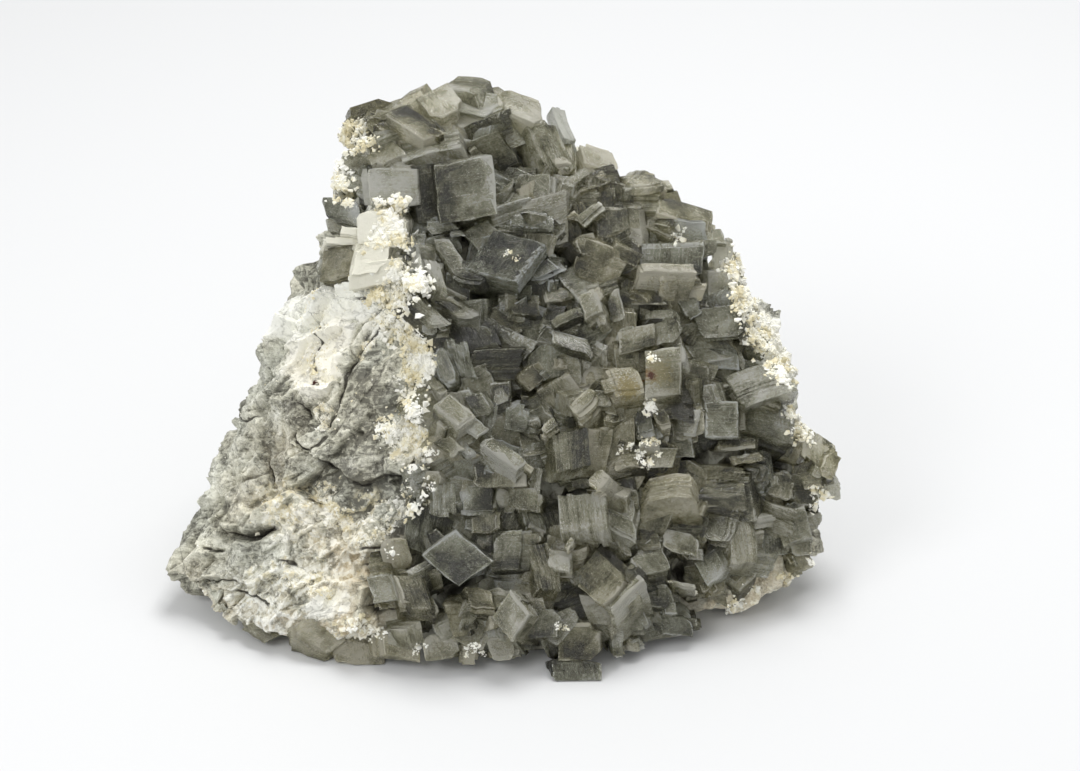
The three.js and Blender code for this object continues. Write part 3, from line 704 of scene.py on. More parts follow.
def block_grain(middles):
    """The wanted edge length at each point of the block."""
    places = sheet_places(middles)
    covered = inside(DRUSE_OUTLINE, places[:, :2])
    visible = places[:, 2] > SIGHT_DEPTH + SIGHT_SLOPE * np.abs(places[:, 0])
    bare = visible & ~covered & (middles[:, 2] > 0.5)
    grain = np.where(bare, np.where(places[:, 0] < 0, FLANK_GRAIN, RIM_GRAIN), BROKEN_GRAIN)
    grain = np.where(covered & (places[:, 2] > COVERED_DEPTH), COVERED_GRAIN, grain)
    return np.where(middles[:, 2] < BASE_HEIGHT, COVERED_GRAIN, grain) * EDGE_ALLOWANCE


points, faces = refined(block_points, block_faces, lambda middles: EDGE_ALLOWANCE * FORM_GRAIN)
points = smoothed(points, faces, FORM_ROUNDS, points[:, 2] < BASE_HEIGHT)
points, faces = refined(points, faces, block_grain)
on_base = points[:, 2] < BASE_HEIGHT
points = smoothed(points, faces, 2, on_base)
normals = point_normals(points, faces)

# where each point lies as the eye sees it, and how much of each kind of stone is there
flat_places = sheet_places(points)[:, :2]
seen = faces_the_eye(points, normals)
front = np.clip((seen + 0.05) / 0.2, 0, 1)
behind = 1 - front
covered = inside(DRUSE_OUTLINE, flat_places) * front
flank = front * (1 - covered)
crust, tan, cleaved, pale, veined = (
    patches(table, flat_places) * front
    for table in (CRUST_PATCHES, TAN_PATCHES, CLEAVED_PATCHES, PALE_PATCHES, VEINED_PATCHES)
)
cleaved = cleaved * (1 - covered)
waver = np.stack((smooth_noise(points, 1.6, 14), smooth_noise(points, 1.6, 15)), axis=1)
crack_offset, crack_beside = nearest_crack(flat_places + CRACK_WAVER * waver)

# facets are drawn out along the grain of the stone, which runs up to the right on the flank
grain_way = 0.75 * ACROSS + 0.66 * UP
drawn_out = points - DRAWING_OUT * (points @ grain_way)[:, None] * grain_way
large, large_own = facets(drawn_out + 1.6 * smooth_noise(points, 5, 3)[:, None], LARGE_FACETS, 11)
middle, middle_own = facets(drawn_out, MIDDLE_FACETS, 23)
small, small_own = facets(points, SMALL_FACETS, 37)
crumb = crust * 1.5 + 0.6 * smooth_noise(points, 2.2, 5) + 0.5 * smooth_noise(points, 1.0, 6) - 0.5
crumb = np.clip(crumb, 0, 1) * (crust > 0.08)
height = large * LARGE_RELIEF * (1 - 0.35 * cleaved + 0.35 * behind)
height += middle * MIDDLE_RELIEF * (1 - 0.75 * cleaved) * (1 - 0.35 * behind)
height += small * SMALL_RELIEF * (1 - 0.5 * cleaved)
height += FINE_RELIEF * (1 - 0.6 * cleaved) * smooth_noise(points, 0.9, 8)
height -= CRACK_DEPTH * np.exp(-((crack_offset / CRACK_WIDTH) ** 2)) * crack_beside * front
height += crumb * (0.25 + 0.35 * smooth_noise(points, 1.1, 9))
ridge_ways = np.stack((grain_way, OUT, np.cross(grain_way, OUT)))
ridges = smooth_noise(points @ np.linalg.inv(ridge_ways * np.array(RIDGE_SIZES)[:, None]), 1, 12)
height += RIDGE_RELIEF * cleaved * ridges

# forms, ledges and hollows between the crystals
form = np.zeros(len(points))
for path, reach, most in FLANK_FORMS:
    distance, _ = path_distance(path, flat_places)
    form += most * np.exp(-((distance / reach) ** 2))
for path, reach, most in FLANK_LEDGES:
    distance, side = path_distance(path, flat_places)
    form += most * side * np.tanh(distance / LEDGE_RISE) * np.exp(-distance / reach)
hollow = np.zeros(len(points))
for across, up, reach in HOLLOWS:
    distance = np.linalg.norm(flat_places - (across, up), axis=1)
    hollow = np.maximum(hollow, np.clip(1.6 - distance / reach, 0, 1) * front)
height = height * (1 - 0.6 * covered) + form * front - SET_BACK - HOLLOW_DEPTH * hollow
height -= patches(OUTLINE_STEPS, flat_places) * np.clip((seen + 0.7) / 0.5, 0, 1)

# all of it is raised on the form, which keeps its base flat and its foot drawn in
fade = np.clip(points[:, 2] / FADE_HEIGHT, 0, 1)
points = points + normals * (height * fade)[:, None]
points[:, 2] = np.maximum(points[:, 2], 0)
points[on_base, 2] = 0
points[:, 1] -= BACK_SHARE * np.maximum(points[:, 1] - BACK_LIMIT, 0)
undercut = np.interp(points[:, 2], *UNDERCUT) * np.interp(points[:, 0], *UNDERCUT_PLACES)
points[:, :2] *= 1 - undercut[:, None]
stone_points, stone_faces, stone_normals = points, faces, point_normals(points, faces)

# edges that stand out get a painted highlight, and clefts get painted shade
worn = ((points - smoothed(points, faces, 3, on_base)) * stone_normals).sum(axis=1)
stone_mesh = new_mesh("matrix_stone", points, faces)
store(
    stone_mesh,
    "POINT",
    crust=crumb,
    tan=tan,
    pale=pale,
    crack_offset=crack_offset,
    crack_beside=crack_beside * front,
    cleaved=cleaved,
    veined=veined,
    # painted shade: stone under the crystals is darkened by half, and in the hollows between them up to
    # fully
    covered=np.maximum(0.5 * covered, hollow),
    # painted highlight on ridges and painted shade in clefts
    worn=np.clip(worn / FULL_RIDGE_LIGHT, -1, 1) * (1 - 0.5 * behind),
    tone=0.5 * large_own + 0.3 * middle_own + 0.2 * small_own,
)
stone_mesh.set_sharp_from_angle(angle=SHARP_STONE)
stone = add_object("matrix_stone", stone_mesh)

GREY_STONE = (0.44, 0.44, 0.37, 1)
PALE_STONE = (0.76, 0.765, 0.67, 1)
DARK_STONE = (0.17, 0.168, 0.14, 1)
TAN_STONE = (0.63, 0.545, 0.385, 1)
WHITE_CRUST = (0.97, 0.97, 0.91, 1)
CREAM_CRUST = (0.80, 0.74, 0.54, 1)
# painted shade for stone under and among the crystals
SHADE_AMONG_CRYSTALS = (0.035, 0.032, 0.025, 1)
CRACK_FILL = (0.06, 0.055, 0.045, 1)
RED_FILL = (0.10, 0.012, 0.010, 1)
COOL_STONE = (0.98, 0.98, 0.965, 1)
WARM_STONE = (1.03, 1.0, 0.94, 1)
RED_PIT, RED_PIT_EDGE = (-48.7, 75.5), (1.1, 0.6)  # its place, and where its red begins and is full
PANE_STRAY = 4.0  # how far the cream veins between panes wander
STONE_BUMP = 0.8

stone_tree = tree_of(stone_points, stone_faces)
red_pit = np.array(first_seen(stone_tree, *RED_PIT)[0])

stone_look = Look("broken_dolomite", Specular_IOR_Level=0.4)
place = stone_look.position()
crust_here, cleaved_here, pale_here, veined_here, worn_here = (
    stone_look.attribute(name) for name in ("crust", "cleaved", "pale", "veined", "worn")
)

# clouds down to sand, streaks along the grain, veins, hair cracks, and panes between cream veins
cloud = stone_look.noise(place, 110.0, 5.0, 0.62, 0.6)
patch = stone_look.noise(place, 330.0, 4.0, 0.6)
speck = stone_look.noise(place, 900.0, 4.0, 0.65)
grit = stone_look.noise(place, 2600.0, 3.0, 0.65)
sand = stone_look.noise(place, 4800.0, 2.0, 0.6)
fleck = stone_look.noise(place, 1400.0, 2.0, 0.5)
along_grain = {"Vector": place, "Rotation": (0.0, math.radians(-42), 0.0), "Scale": (120, 700, 900)}
streaks = stone_look.noise(stone_look.node("ShaderNodeMapping", {}, along_grain), 1.0, 5.0, 0.65, 0.8)
vein = stone_look.threads(stone_look.noise(place, 150.0, 4.0, 0.62, 1.5), 0.004, 0.03)
fine_vein = stone_look.threads(stone_look.noise(place, 520.0, 3.0, 0.6, 1.0), 0.01, 0.05)
hair = stone_look.threads(stone_look.noise(place, 85.0, 6.0, 0.68, 0.9), 0.002, 0.010)
shaking = stone_look.noise(place, 300.0, 3.0, 0.5, output=1)
shaken = stone_look.vector("ADD", place, stone_look.vector("SCALE", shaking, Scale=PANE_STRAY / METRE))
pane_edge = stone_look.cells(shaken, 210.0, "Distance", feature="DISTANCE_TO_EDGE")
pane_tone = stone_look.split(stone_look.cells(shaken, 210.0), "Color")

# paler and darker stone, with a painted highlight on its ridges and painted shade in its clefts
shade = stone_look.attribute("tone") * 0.5 + cloud * 1.1 + patch * 0.8
shade = shade + speck * 0.5 + grit * 0.6 + sand * 0.4 - 1.62
shade = shade + worn_here * 0.22 + pale_here * 0.42 + (streaks - 0.5) * (cleaved_here * 1.1 + 0.9)
shade = shade + (pane_tone - 0.5) * (veined_here * 0.4 + 0.12)
stone_colour = stone_look.mix(shade.step(0.02, 0.36), DARK_STONE, GREY_STONE)
stone_colour = stone_look.mix(shade.step(0.30, 0.8), stone_colour, PALE_STONE)
tan_share = stone_look.attribute("tan") * (cloud * 0.5 + patch * 0.5).step(0.36, 0.56) * 0.85
stone_colour = stone_look.mix(tan_share, stone_colour, TAN_STONE)

# white veins, flecks and crust, and more painted highlight on the ridges
white = pale_here + cloud * 0.5 + patch * 0.3 + (grit - 0.5) * 0.5 + worn_here * 0.16
veins = vein.most(fine_vein * 0.8) * (pale_here * 0.45 + (cloud - 0.35) * 1.6).least(0.8).most(0.0)
flecks = fleck.step(0.60, 0.66) * (cloud + pale_here * 0.2).step(0.42, 0.58) * 0.5
stone_colour = stone_look.mix(white.step(0.72, 1.05).most(veins).most(flecks), stone_colour, WHITE_CRUST)
cream = (pane_edge * -1.0 + (speck - 0.5) * 0.35 + 0.17).step(0.0, 0.09)
cream = cream * veined_here.step(0.15, 0.6) * patch.step(0.42, 0.52)
crust_colour = (patch * 0.6 + speck * 0.4 + pale_here * 0.14).step(0.44, 0.58)
crust_colour = stone_look.mix(crust_colour, CREAM_CRUST, WHITE_CRUST)
crust_share = (crust_here + (speck - 0.5) * 1.6 + (grit - 0.5) * 1.2).step(0.25, 0.45)
stone_colour = stone_look.mix(crust_share.most(cream * 0.85), stone_colour, crust_colour)

# dark cracks, pits and specks, and the red fill of one pit
crack_reach = (stone_look.attribute("crack_offset").size() - (patch - 0.42) * 1.1).step(0.24, 0.06)
crack_share = crack_reach * stone_look.attribute("crack_beside") * 0.85
pits = (patch * 0.5 + speck * 0.5).step(0.385, 0.33) * (1 - cleaved_here) * 0.55
dark_flecks = fleck.step(0.38, 0.33) * (speck - pale_here * 0.1).step(0.42, 0.52) * 0.3
hair_share = hair * 0.45 * (1 - veined_here) * (1 - pale_here).most(0.2)
dark_share = crack_share.most(pits).most(dark_flecks).most(hair_share)
stone_colour = stone_look.mix(dark_share, stone_colour, CRACK_FILL)
red_share = stone_look.measure("DISTANCE", place, tuple(red_pit / METRE))
red_share = (red_share * METRE).step(*RED_PIT_EDGE)
stone_colour = stone_look.mix(red_share, stone_colour, RED_FILL)
# painted shade on the stone under the crystals and in the hollows between them
stone_colour = stone_look.mix(stone_look.attribute("covered"), stone_colour, SHADE_AMONG_CRYSTALS)
hue = stone_look.mix(stone_look.noise(place, 40.0, 2.0).step(0.4, 0.6), COOL_STONE, WARM_STONE)
stone_colour = stone_look.mix(1.0, stone_colour, hue, "MULTIPLY")
stone_height = patch * 0.8 + speck * 0.4 + grit * 0.2 + cloud * 0.5 + streaks * 0.6 + sand * 0.08
stone_height = stone_height - hair * 0.4 - crack_share * 0.5
stone_look.surface_takes(
    Base_Color=stone_colour,
    Roughness=0.85 - cleaved_here * 0.35,
    Normal=stone_look.bump(stone_height, 0.8, STONE_BUMP),
)
stone_mesh.materials.append(stone_look.material)
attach(stone, "root")
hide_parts("matrix")

# ---- Crystals -----------------------------------------------------------------------------------------
# Smoky grey dolomite crystals cover the face and hang over its edges. Each is a rhomb of stacked plates
# that have grown a little past each other, so its sides are stepped. Those that overlap are one solid.

DRUSE_SEED = 71
EDGE_COSINE = 0.2186  # cosine of a dolomite rhomb's face angle
ROCK_MIDDLE = (5.0, 75.0)  # a crystal past the rim takes the rock's level a little nearer this place
GROUND_REACH, GROUND_DEPTH = 200, 50  # the body of ground that trims the crystals
# Crystals end this high above the ground, from one place across to the next.
DRUSE_CLEARANCES = ((-GROUND_REACH, 4, 3.2), (4, 25, 0.3), (25, GROUND_REACH, 3.2))
LONE_CLEARANCES = ((-GROUND_REACH, GROUND_REACH, 0.3),)
BEVEL = 0.2
LEDGE_DROP = 0.02  # how far a ledge between two leaves falls
BOOK_BEND = 1.8  # books are bent this much more than other crystals
BEVEL_BAND = 2  # faces lie in bands from ring to ring, and this one is the bevel
# how pale the painted highlights on the ledges and on the marked sides are
LEDGE_PALENESS, SIDE_PALENESS = 0.6, 1.3
SIDE_SLOPE = 0.16  # how much paler a crystal is painted towards a marked side, as painted light
SHARP_CRYSTAL = math.radians(13)
SIDES = {"W": 0, "E": 1, "N": 2, "S": 3}  # the sides at the start and end of edge a, and of edge b
MILKY_TONE = 0.95  # crystals paler than this are milky rather than smoky

# Each row: the corner (across, up), edge a and edge b from it (across, up, out), depth, how far the face
# stands out of the rock, how pale it is, where 1 is milk, and marks. A capital names a side that is pale:
# a painted highlight on that side, with the crystal painted paler towards it as if lit from there.
# Marks a and b make a book whose leaves are stacked along that edge, p a thin plate, and s stands alone.
LARGE_CRYSTALS = (
    # crown
    (-43.5, 144, 14, 4.5, -1, 8.5, -10.5, -3, 5, 4, 0.22, ""),
    (-31.5, 143, 10, -7, 2, 5.5, 2.5, -1.5, 6, 8, 0.42, "E"),
    (-24, 147, 9, 5, -3, 5, -6.5, 4, 8, 6, 0.72, ""),
    (-17, 144, 5.5, 5.5, -3, 11, -2.5, 1, 8, 6, 0.72, ""),
    (-3, 150, 11, -3.5, 0, 1, -7, 3, 7, 6, 0.86, ""),
    (-13, 139, 13, 4.5, 0, 1, -6, -2, 9, 4, 0.45, "b"),
    (2, 144, 7, 0, -1, 6, -15.5, 4, 8, 6, 0.6, "a"),
    (9, 144.5, 3.5, -1, -1, 4.5, -10.5, 4, 7, 5, 0.82, "a"),
    (17, 136.5, 9, -2.5, -2, 2, -7, 4, 5, 4, 0.86, "s"),
    # milky mass between the shoulder and the flank, with two thin rods on its left
    (-38.5, 119, 12, -1, 1, 0.5, -8.5, 0, 7, 3.6, 0.99, "s"),
    (-37.5, 112.5, 9, 1, 0, -2, -10, 1, 7, 3.2, 1.04, "s"),
    (-40, 105, 13, 2, 0, -0.5, -6, -1, 7, 2.4, 1.06, "s"),
    (-46, 112.4, 8, -0.4, 0, 0, -1.7, 0, 5, 4.6, 1.0, "ps"),
    (-42.2, 115, 4.4, -0.8, 0, -0.5, -2, 0, 5, 5.5, 0.95, "ps"),
    # left shoulder
    (-22.5, 129.5, 18, 3, -2, 1.5, -15, 1, 14, 9, 0.3, "E"),
    (-38.5, 130, 15, -0.5, 1, 1, -9.5, 2, 10, 7, 0.85, ""),
    (-37, 133, 8, 4, -1, 4, -4.5, 4, 7, 6, 0.78, ""),
    (-27, 131, 15, 4, 0, -1, 5, -5, 5, 5, 0.62, "b"),
    (-47.5, 123, 9, -2, 4, 1.5, -7, 0, 8, 4, 0.5, ""),
    # upper right
    (0, 128, 11.5, 0, 1, -1, -10.5, 1, 8, 3, 0.3, "E"),
    (0, 120, 11, -1, 0, 0, -5, 3, 7, 4, 0.38, ""),
    (12, 125.5, 9.5, 0, 0, 0, -7.5, 1, 7, 2, 0.36, "b"),
    (12, 126, 11, 3, -1, 3, -3.5, 3, 6, 4, 0.45, "b"),
    (21.5, 119.5, 10.5, -0.5, 1, 0.5, -9.5, 1, 9, 6, 0.38, "E"),
    (19, 112, 12, -4.5, 0, -4.5, -9, -1, 9, 4, 0.42, ""),
    (15.5, 117, 6, 5, -1, 2.5, -2.5, 2, 5, 7, 0.65, ""),
    (27, 127.5, 9.5, 1, -1, 3, -3, 3, 5, 6, 0.62, ""),
    (31, 125.5, 9, 1.5, -2, 1, -3, 2, 5, 4, 0.6, ""),
    (37, 124, 14.5, -4.5, -2, -0.5, -6, 3, 8, 7, 0.48, "S"),
    (24, 125, 14, -0.5, 0, -1, -5.5, 2, 8, 3, 0.4, "b"),
    (34, 118, 8, -3, 0, -1, -3, 2, 5, 4, 0.5, ""),
    (36, 114.5, 12, -1, 0, 1, -4, 2, 6, 3, 0.4, ""),
    (33, 110, 16, 0.5, 0, -1, -8, 1.5, 5, 8, 0.34, "pS"),
    (50, 112, 5, 1, -1, 0.5, -8, 1, 6, 4, 0.9, "a"),
    (32, 105.8, 14.5, -0.4, -1, 0.8, -2.2, 2, 4, 9, 0.85, ""),
    (34.5, 104.2, 12, -0.6, -1, 0.8, -2.0, 2, 4, 8, 0.8, ""),
    (49.5, 104, 7.5, 1.5, -2, 0, -9, 2, 7, 4, 0.88, ""),
    (45, 114.5, 8, 0, -2, 1, -4, 2, 5, 4, 0.5, ""),
    # middle, left
    (-20, 112, 4.5, 0.5, 0, 6, -9.5, 2, 6, 6, 0.7, ""),
    (-23, 115.5, 7, 1.5, 0, 4, -4, 2, 6, 5, 0.5, ""),
    (-24.5, 113, 3.5, 0, 0, 0, -3.2, 0, 5, 5, 0.5, ""),
    (-11, 104, 12.5, -3.5, 1, 7, 10, -1, 4, 9, 0.2, "pE"),
    (2.5, 103.5, 3.5, -3.2, 1, 8, 3.8, -1, 5, 5, 0.3, "E"),
    (-16, 103, 6, -1.5, 0, 0, -8, -1, 7, 3, 0.36, ""),
    (-24, 108, 6, -2.5, 0, 2, -8.5, 2, 7, 5, 0.6, "a"),
    (-27.5, 103.5, 6, 0.5, 0, 0, -5, 2, 6, 6, 0.68, ""),
    (-27, 95.5, 7, -7, 1, 5, 1.5, -1, 7, 8, 0.5, "E"),
    (-30, 94, 8, -7, 0, 4, 2, 1, 7, 4, 0.25, ""),
    (-19, 95.5, 6, -4.5, 1, 5, 1, 0, 6, 5, 0.4, ""),
    (-6.5, 94, 4, -6, 1, 6, 1, 0, 7, 3, 0.33, ""),
    (-1, 98.5, 8.5, -0.5, 0, 0, -5.5, 2, 7, 4, 0.46, ""),
    (8, 99, 7, 0.5, 0, 0.5, -3, 2, 5, 4, 0.42, ""),
    (9.5, 92.5, 8, 3.5, 0, 1, -3, 3, 5, 6, 0.55, "N"),
    (17, 97.5, 4, 2, 0, 2, -6.5, 2, 5, 7, 0.68, ""),
    (24, 97, 3.5, 2.5, 0, 1.5, -7, 1, 6, 5, 0.5, ""),
    (10, 89.5, 9.5, -3, 0, 0.5, -4, 3, 6, 6, 0.62, "N"),
    (10, 83.5, 8, -1, 0, 0, -7.5, 0, 7, 4, 0.46, ""),
    (-9, 86, 13, 0, 0, -2, -8, -1, 9, 4, 0.3, "b"),
    (-16, 87, 5, -1.5, 0, 2, -9, 1, 7, 5, 0.4, "a"),
    (-21, 83, 4.5, 2, 0, 3.5, -8.5, 2, 7, 6, 0.6, ""),
    (2, 76.5, 4, 4, 0, 3, -3, -2, 5, 6, 0.34, ""),
    (-19, 70, 6.5, -5.5, 1, 4, 3, -2, 4, 9, 0.72, "pES"),
    (-13, 65, 4.5, -3.5, 1, 3.5, 2.5, -1, 4, 8, 0.66, "pE"),
    (-12, 72, 5, 1, 0, 3, -5, 1, 6, 6, 0.48, ""),
    (-5, 75.5, 5, 0.5, 0, 0.5, -8, 0, 7, 3, 0.35, ""),
    (-1, 72, 8, -1, 0, -1, -8, 2, 8, 5, 0.38, ""),
    (7.5, 65, 3, 2, 0, 2, -2.2, 1, 4, 7, 0.62, ""),
    (-8, 61, 10, -7, 1, 3, 2.5, -2, 5, 8, 0.46, "N"),
    (-19, 60.5, 4.5, -3.5, 1, 3.5, 2, -1, 5, 7, 0.7, "E"),
    (-13.5, 59, 3, -2.5, 1, 2, 2, -1, 4, 7, 0.74, "E"),
    (-9, 56, 13, 0.5, 0, 0, -7, 2, 9, 5, 0.5, ""),
    (0, 50, 8, -1, 0, -0.5, -5.5, 2, 7, 6, 0.48, ""),
    (-20, 50, 5.5, 0.5, 0, 0, -7.5, 1, 7, 6, 0.5, "a"),
    (-13, 50, 8, 0, 0, 0.5, -7, 1, 8, 5, 0.45, ""),
    # middle, right
    (10.5, 62.5, 8.5, 2, -1, 0.5, -12.5, 2, 8, 8, 0.58, "a"),
    (18.5, 51, 3.5, 3.5, -1, 3, -2.5, 2, 4, 8, 0.8, ""),
    (14.5, 70, 5.5, 4.5, -1, 3, -2.5, 2, 5, 7, 0.64, ""),
    (20, 74, 5, -0.5, 0, 1, -5, 2, 6, 6, 0.58, ""),
    (23.5, 79, 8, 1, 0, 2.5, -7, 3, 7, 7, 0.78, ""),
    (34, 84, 9, 1, -1, -0.5, -12, 3, 8, 9, 0.7, ""),
    (26, 84, 8, 0.5, 0, 0.5, -6, 0, 7, 4, 0.42, ""),
    (27, 88.5, 9, 2.5, 0, 0, -6, 1, 4, 7, 0.6, "pW"),
    (34, 93.5, 9, 1, -1, 0.5, -8.5, 2, 7, 7, 0.62, ""),
    (28.5, 101, 10, 0, 0, 1, -6, 1, 7, 4, 0.42, "S"),
    (40.5, 98, 4, 3, -1, 4.5, -7, 1, 7, 5, 0.28, ""),
    (45, 94, 12, 1.5, -2, 3, -8, 3, 8, 6, 0.42, ""),
    (45, 86.5, 12.5, -0.5, -1, 0, -7, 0, 8, 4, 0.34, ""),
    (57, 87, 5, -0.3, -1, 0.3, -1.8, 0, 4, 5, 0.9, ""),
    (51.5, 110, 5.5, -1, 0, 2, -9.5, 1, 6, 3.6, 0.8, "s"),
    (54, 100, 6, -1, -1, 2.5, -8.5, 1, 6, 3.4, 0.84, "s"),
    (57.5, 91, 6, -2, -1, 3.5, -6, 1, 6, 3.2, 0.8, "s"),
    (52.5, 77.5, 14, 5, -4, 5, -8, 5, 5, 9, 0.42, "b"),
    (60, 71, 12, -3.5, -2, -0.5, -8, 3, 9, 7, 0.45, ""),
    (73, 66, 9, -6, -2, 0, -8, 2, 8, 5, 0.72, "a"),
    (80, 59.5, 3.5, -1.5, -1, -3, -7, 1, 4, 6, 0.58, ""),
    (76.6, 50.5, 6, -0.3, -1, 0.3, -4, 0, 7, 5, 0.7, ""),
    (73, 42.5, 5.5, 0.5, -2, -1, -4, 1, 5, 6, 0.62, ""),
    (70, 36.5, 6, 0, -2, 0.5, -4, 1, 5, 5, 0.58, ""),
    (70, 33, 4, 2, -2, 2.5, -5, 1, 5, 5, 0.62, ""),
    (48.5, 71, 8.5, 0, 0, 0, -9, 3, 8, 7, 0.5, "W"),
    (40, 68, 8.5, 2.5, 0, 1, -7, 2, 8, 4, 0.36, ""),
    (31, 68.5, 5, 1.5, 0, 1.5, -7, 1, 7, 5, 0.34, ""),
    (35.5, 68, 3, 1, 0, 2.5, -4, 1, 5, 6, 0.3, ""),
    (32, 61.2, 5, 0, 0, 0, -1.3, 1.5, 3, 7, 0.9, ""),
    (36, 59.5, 7.5, 0, -1, -2, -5, 2, 6, 6, 0.48, ""),
    (32, 51, 14, 2.5, -1, -1, -6, 3, 8, 7, 0.5, "b"),
    (48, 55, 11, 0, -1, -1, -3.5, 1, 8, 5, 0.44, "b"),
    (47.5, 51, 12, 0, -1, -0.5, -5, 3, 8, 6, 0.4, "b"),
    (52, 61, 9.5, 1, -1, 0, -2.5, 1, 6, 5, 0.42, "S"),
    (54.5, 57, 8, 1.5, -1, 1, -2, 1, 5, 6, 0.45, ""),
    (60, 55, 5.5, 1, -1, 1, -5.5, 1, 6, 4, 0.4, ""),
    (65, 54, 6, -2, -1, -1, -6, 1, 6, 4, 0.38, ""),
    (70, 53, 6.5, 0, -2, 1, -8, 2, 7, 5, 0.4, ""),
    (66, 43, 8, 2, -3, 2, -8, 2, 7, 5, 0.45, ""),
    # foot
    (-22, 32.5, 9, -7.5, 2, 8.5, 6, -2, 4, 10, 0.26, "p"),
    (-4, 38.5, 9.5, 0.5, 0, -1, -9.5, 1, 7, 6, 0.46, ""),
    (3.5, 35, 6, 0, 0, 3.5, -11, 3, 7, 6, 0.52, "a"),
    (9.5, 34, 5.5, -1, 0, 0, -5, 2, 5, 8, 0.74, ""),
    (13.3, 34, 1.8, 3, 0, 1.2, -0.5, 0, 3, 9, 0.8, ""),
    (11.5, 47.5, 12, 0.5, -1, 2, -12, 4, 8, 8, 0.54, "a"),
    (24, 45, 7, -3.5, -1, 1, -6.5, 2, 7, 5, 0.45, ""),
    (14.5, 27.5, 8, 8.5, -3, 8.5, -8, 3, 7, 8, 0.34, "S"),
    (24, 20, 8, 7.5, -2, 1.5, -1, 1, 3, 9, 0.68, "pS"),
    (-9.5, 43, 6.5, 0, 0, 0, -5, 1, 6, 5, 0.48, ""),
    (-29, 27.5, 8, 0, 0, 3, -8, 3, 8, 6, 0.46, "W"),
    (-36, 27, 6.5, 1, 0, 2, -6.5, 2, 7, 6, 0.5, "E"),
    (-26, 29, 5, 3, 0, 2.5, -1.5, 1, 5, 6, 0.4, ""),
    (-18, 19.5, 9, 0.5, 0, 3, -9, 1, 8, 4, 0.34, "W"),
    (-11, 25, 6, -0.5, 0, 1.5, -6, 2, 7, 5, 0.44, ""),
    (-4.5, 17, 4.5, 6.5, -1, 4.8, -5.8, 2, 6, 8, 0.5, "pE"),
    (4, 19, 9, 0, 0, -1, -7, 1, 7, 5, 0.32, ""),
    (12, 15.5, 10.5, 0, 0, 0, -9, 1, 8, 6, 0.48, "N"),
    (-34, 14.5, 11, -2.5, 0, 1, -6, 2, 7, 4, 0.84, ""),
    (-22, 12, 9, 1.5, 0, 1, -6, 2, 7, 4, 0.86, ""),
    (-12.5, 12, 5.5, -0.5, 0, -0.5, -9, 1, 6, 5, 0.92, ""),
    (-6, 11.5, 7, 0.5, 0, 1.5, -5, 1, 7, 5, 0.78, ""),
    (10.5, 6.5, 12, -0.5, 0, 0.5, -6, 0, 8, 8, 0.44, "S"),
    (26, 14, 3, 0, 0, -0.5, -7, 0, 4, 6, 0.68, ""),
    (28.5, 12.5, 4.5, -2, -1, 0.5, -3.5, 0, 4, 5, 0.64, ""),
    (25, 20, 8, 0, -1, 3, -8, 0, 7, 5, 0.36, ""),
    (31, 26, 9, -0.5, -1, 1.5, -6, 1, 7, 5, 0.4, ""),
    (35, 20, 10, -1, -2, 1, -7, 0, 7, 4, 0.3, ""),
    (30, 32.5, 8, 1.5, -1, 2.5, -5, 2, 6, 7, 0.5, ""),
    (38, 39.5, 9, -2, -1, 0, -5, 2, 6, 6, 0.54, ""),
    (31, 39, 6, 0, 0, 1, -5, 1, 6, 4, 0.36, ""),
    (45.5, 31.5, 6, 4, -2, 3.5, -6.5, 2, 6, 6, 0.5, ""),
    (54, 41, 6.5, 0, -1, 2, -10.5, 3, 7, 6, 0.48, "a"),
    (62, 38.5, 8, 0, -2, 0.5, -6, 1, 6, 4, 0.38, ""),
    (44, 46, 14, 0, -2, 0, -4, 1, 7, 4, 0.4, "b"),
    (40, 26.5, 6, -1, -1, 0.5, -1.5, 1, 3, 7, 0.85, ""),
)
# The specimen's outline as the eye sees it, from the crown round by the right to the foot.
SILHOUETTE = (
    (-48, 124), (-43.5, 145), (-36, 149), (-27, 150.5), (-22, 152.5), (-8, 151.5), (1, 150), (6, 146),
    (11, 141.5), (15.5, 137.5), (19, 135.5), (25, 133.5), (28, 130), (36, 129), (40, 126), (46, 122),
    (51.5, 120), (52.5, 115), (55, 113), (56, 108), (59, 98), (63, 92), (67, 86), (70, 80), (72.5, 76),
    (74, 71), (79, 64), (84.5, 59), (82.5, 54), (81, 48), (78, 43), (77, 36), (76, 30), (71, 23),
    (65, 18), (58, 14.5), (50, 12), (42, 10), (34, 8), (28, 6), (24, 3), (22.5, -0.5), (10, 0), (8, 6),
    (0, 4), (-12, 3.5), (-16, 7), (-40, 4), (-60, 10), (-86, 24), (-66, 80),
)
# Where the smaller crystals are paler, and where warmer or colder in colour: a path, a reach and how much.
PALE_AREAS = (
    (((-42, 146), (-12, 149)), 7, 0.28),
    (((6, 145), (26, 133)), 6, 0.45),
    (((-12, 132), (-22, 130)), 4, 0.22),
    (((-30, 105), (-23, 88), (-22, 58)), 5, 0.26),
    (((-22, 70), (-8, 60)), 7, 0.34),
    (((-14, 54), (-2, 51)), 7, 0.22),
    (((-40, 10), (-20, 8), (16, 9)), 5, 0.46),
    (((42, 108), (56, 96)), 5, 0.4),
    (((70, 71), (74, 60)), 6, 0.34),
    (((78, 60), (80, 44)), 4, 0.2),
    (((12, 70), (24, 72)), 5, 0.14),
    (((19, 61), (28, 54)), 6, 0.16),
    (((24, 88), (30, 82)), 5, 0.2),
    (((-40, 32), (-26, 36)), 6, 0.26),
    (((-38, 18), (-32, 14)), 5, 0.36),
    (((0, 24), (14, 30)), 5, 0.08),
    (((2, 110), (6, 106)), 4, 0.2),
    (((-22, 108), (-14, 106)), 4, 0.16),
    (((62, 26), (74, 34)), 5, 0.22),
    (((14, 16), (22, 16)), 5, 0.2),
    (((-14, 78), (10, 79)), 4, 0.12),
)
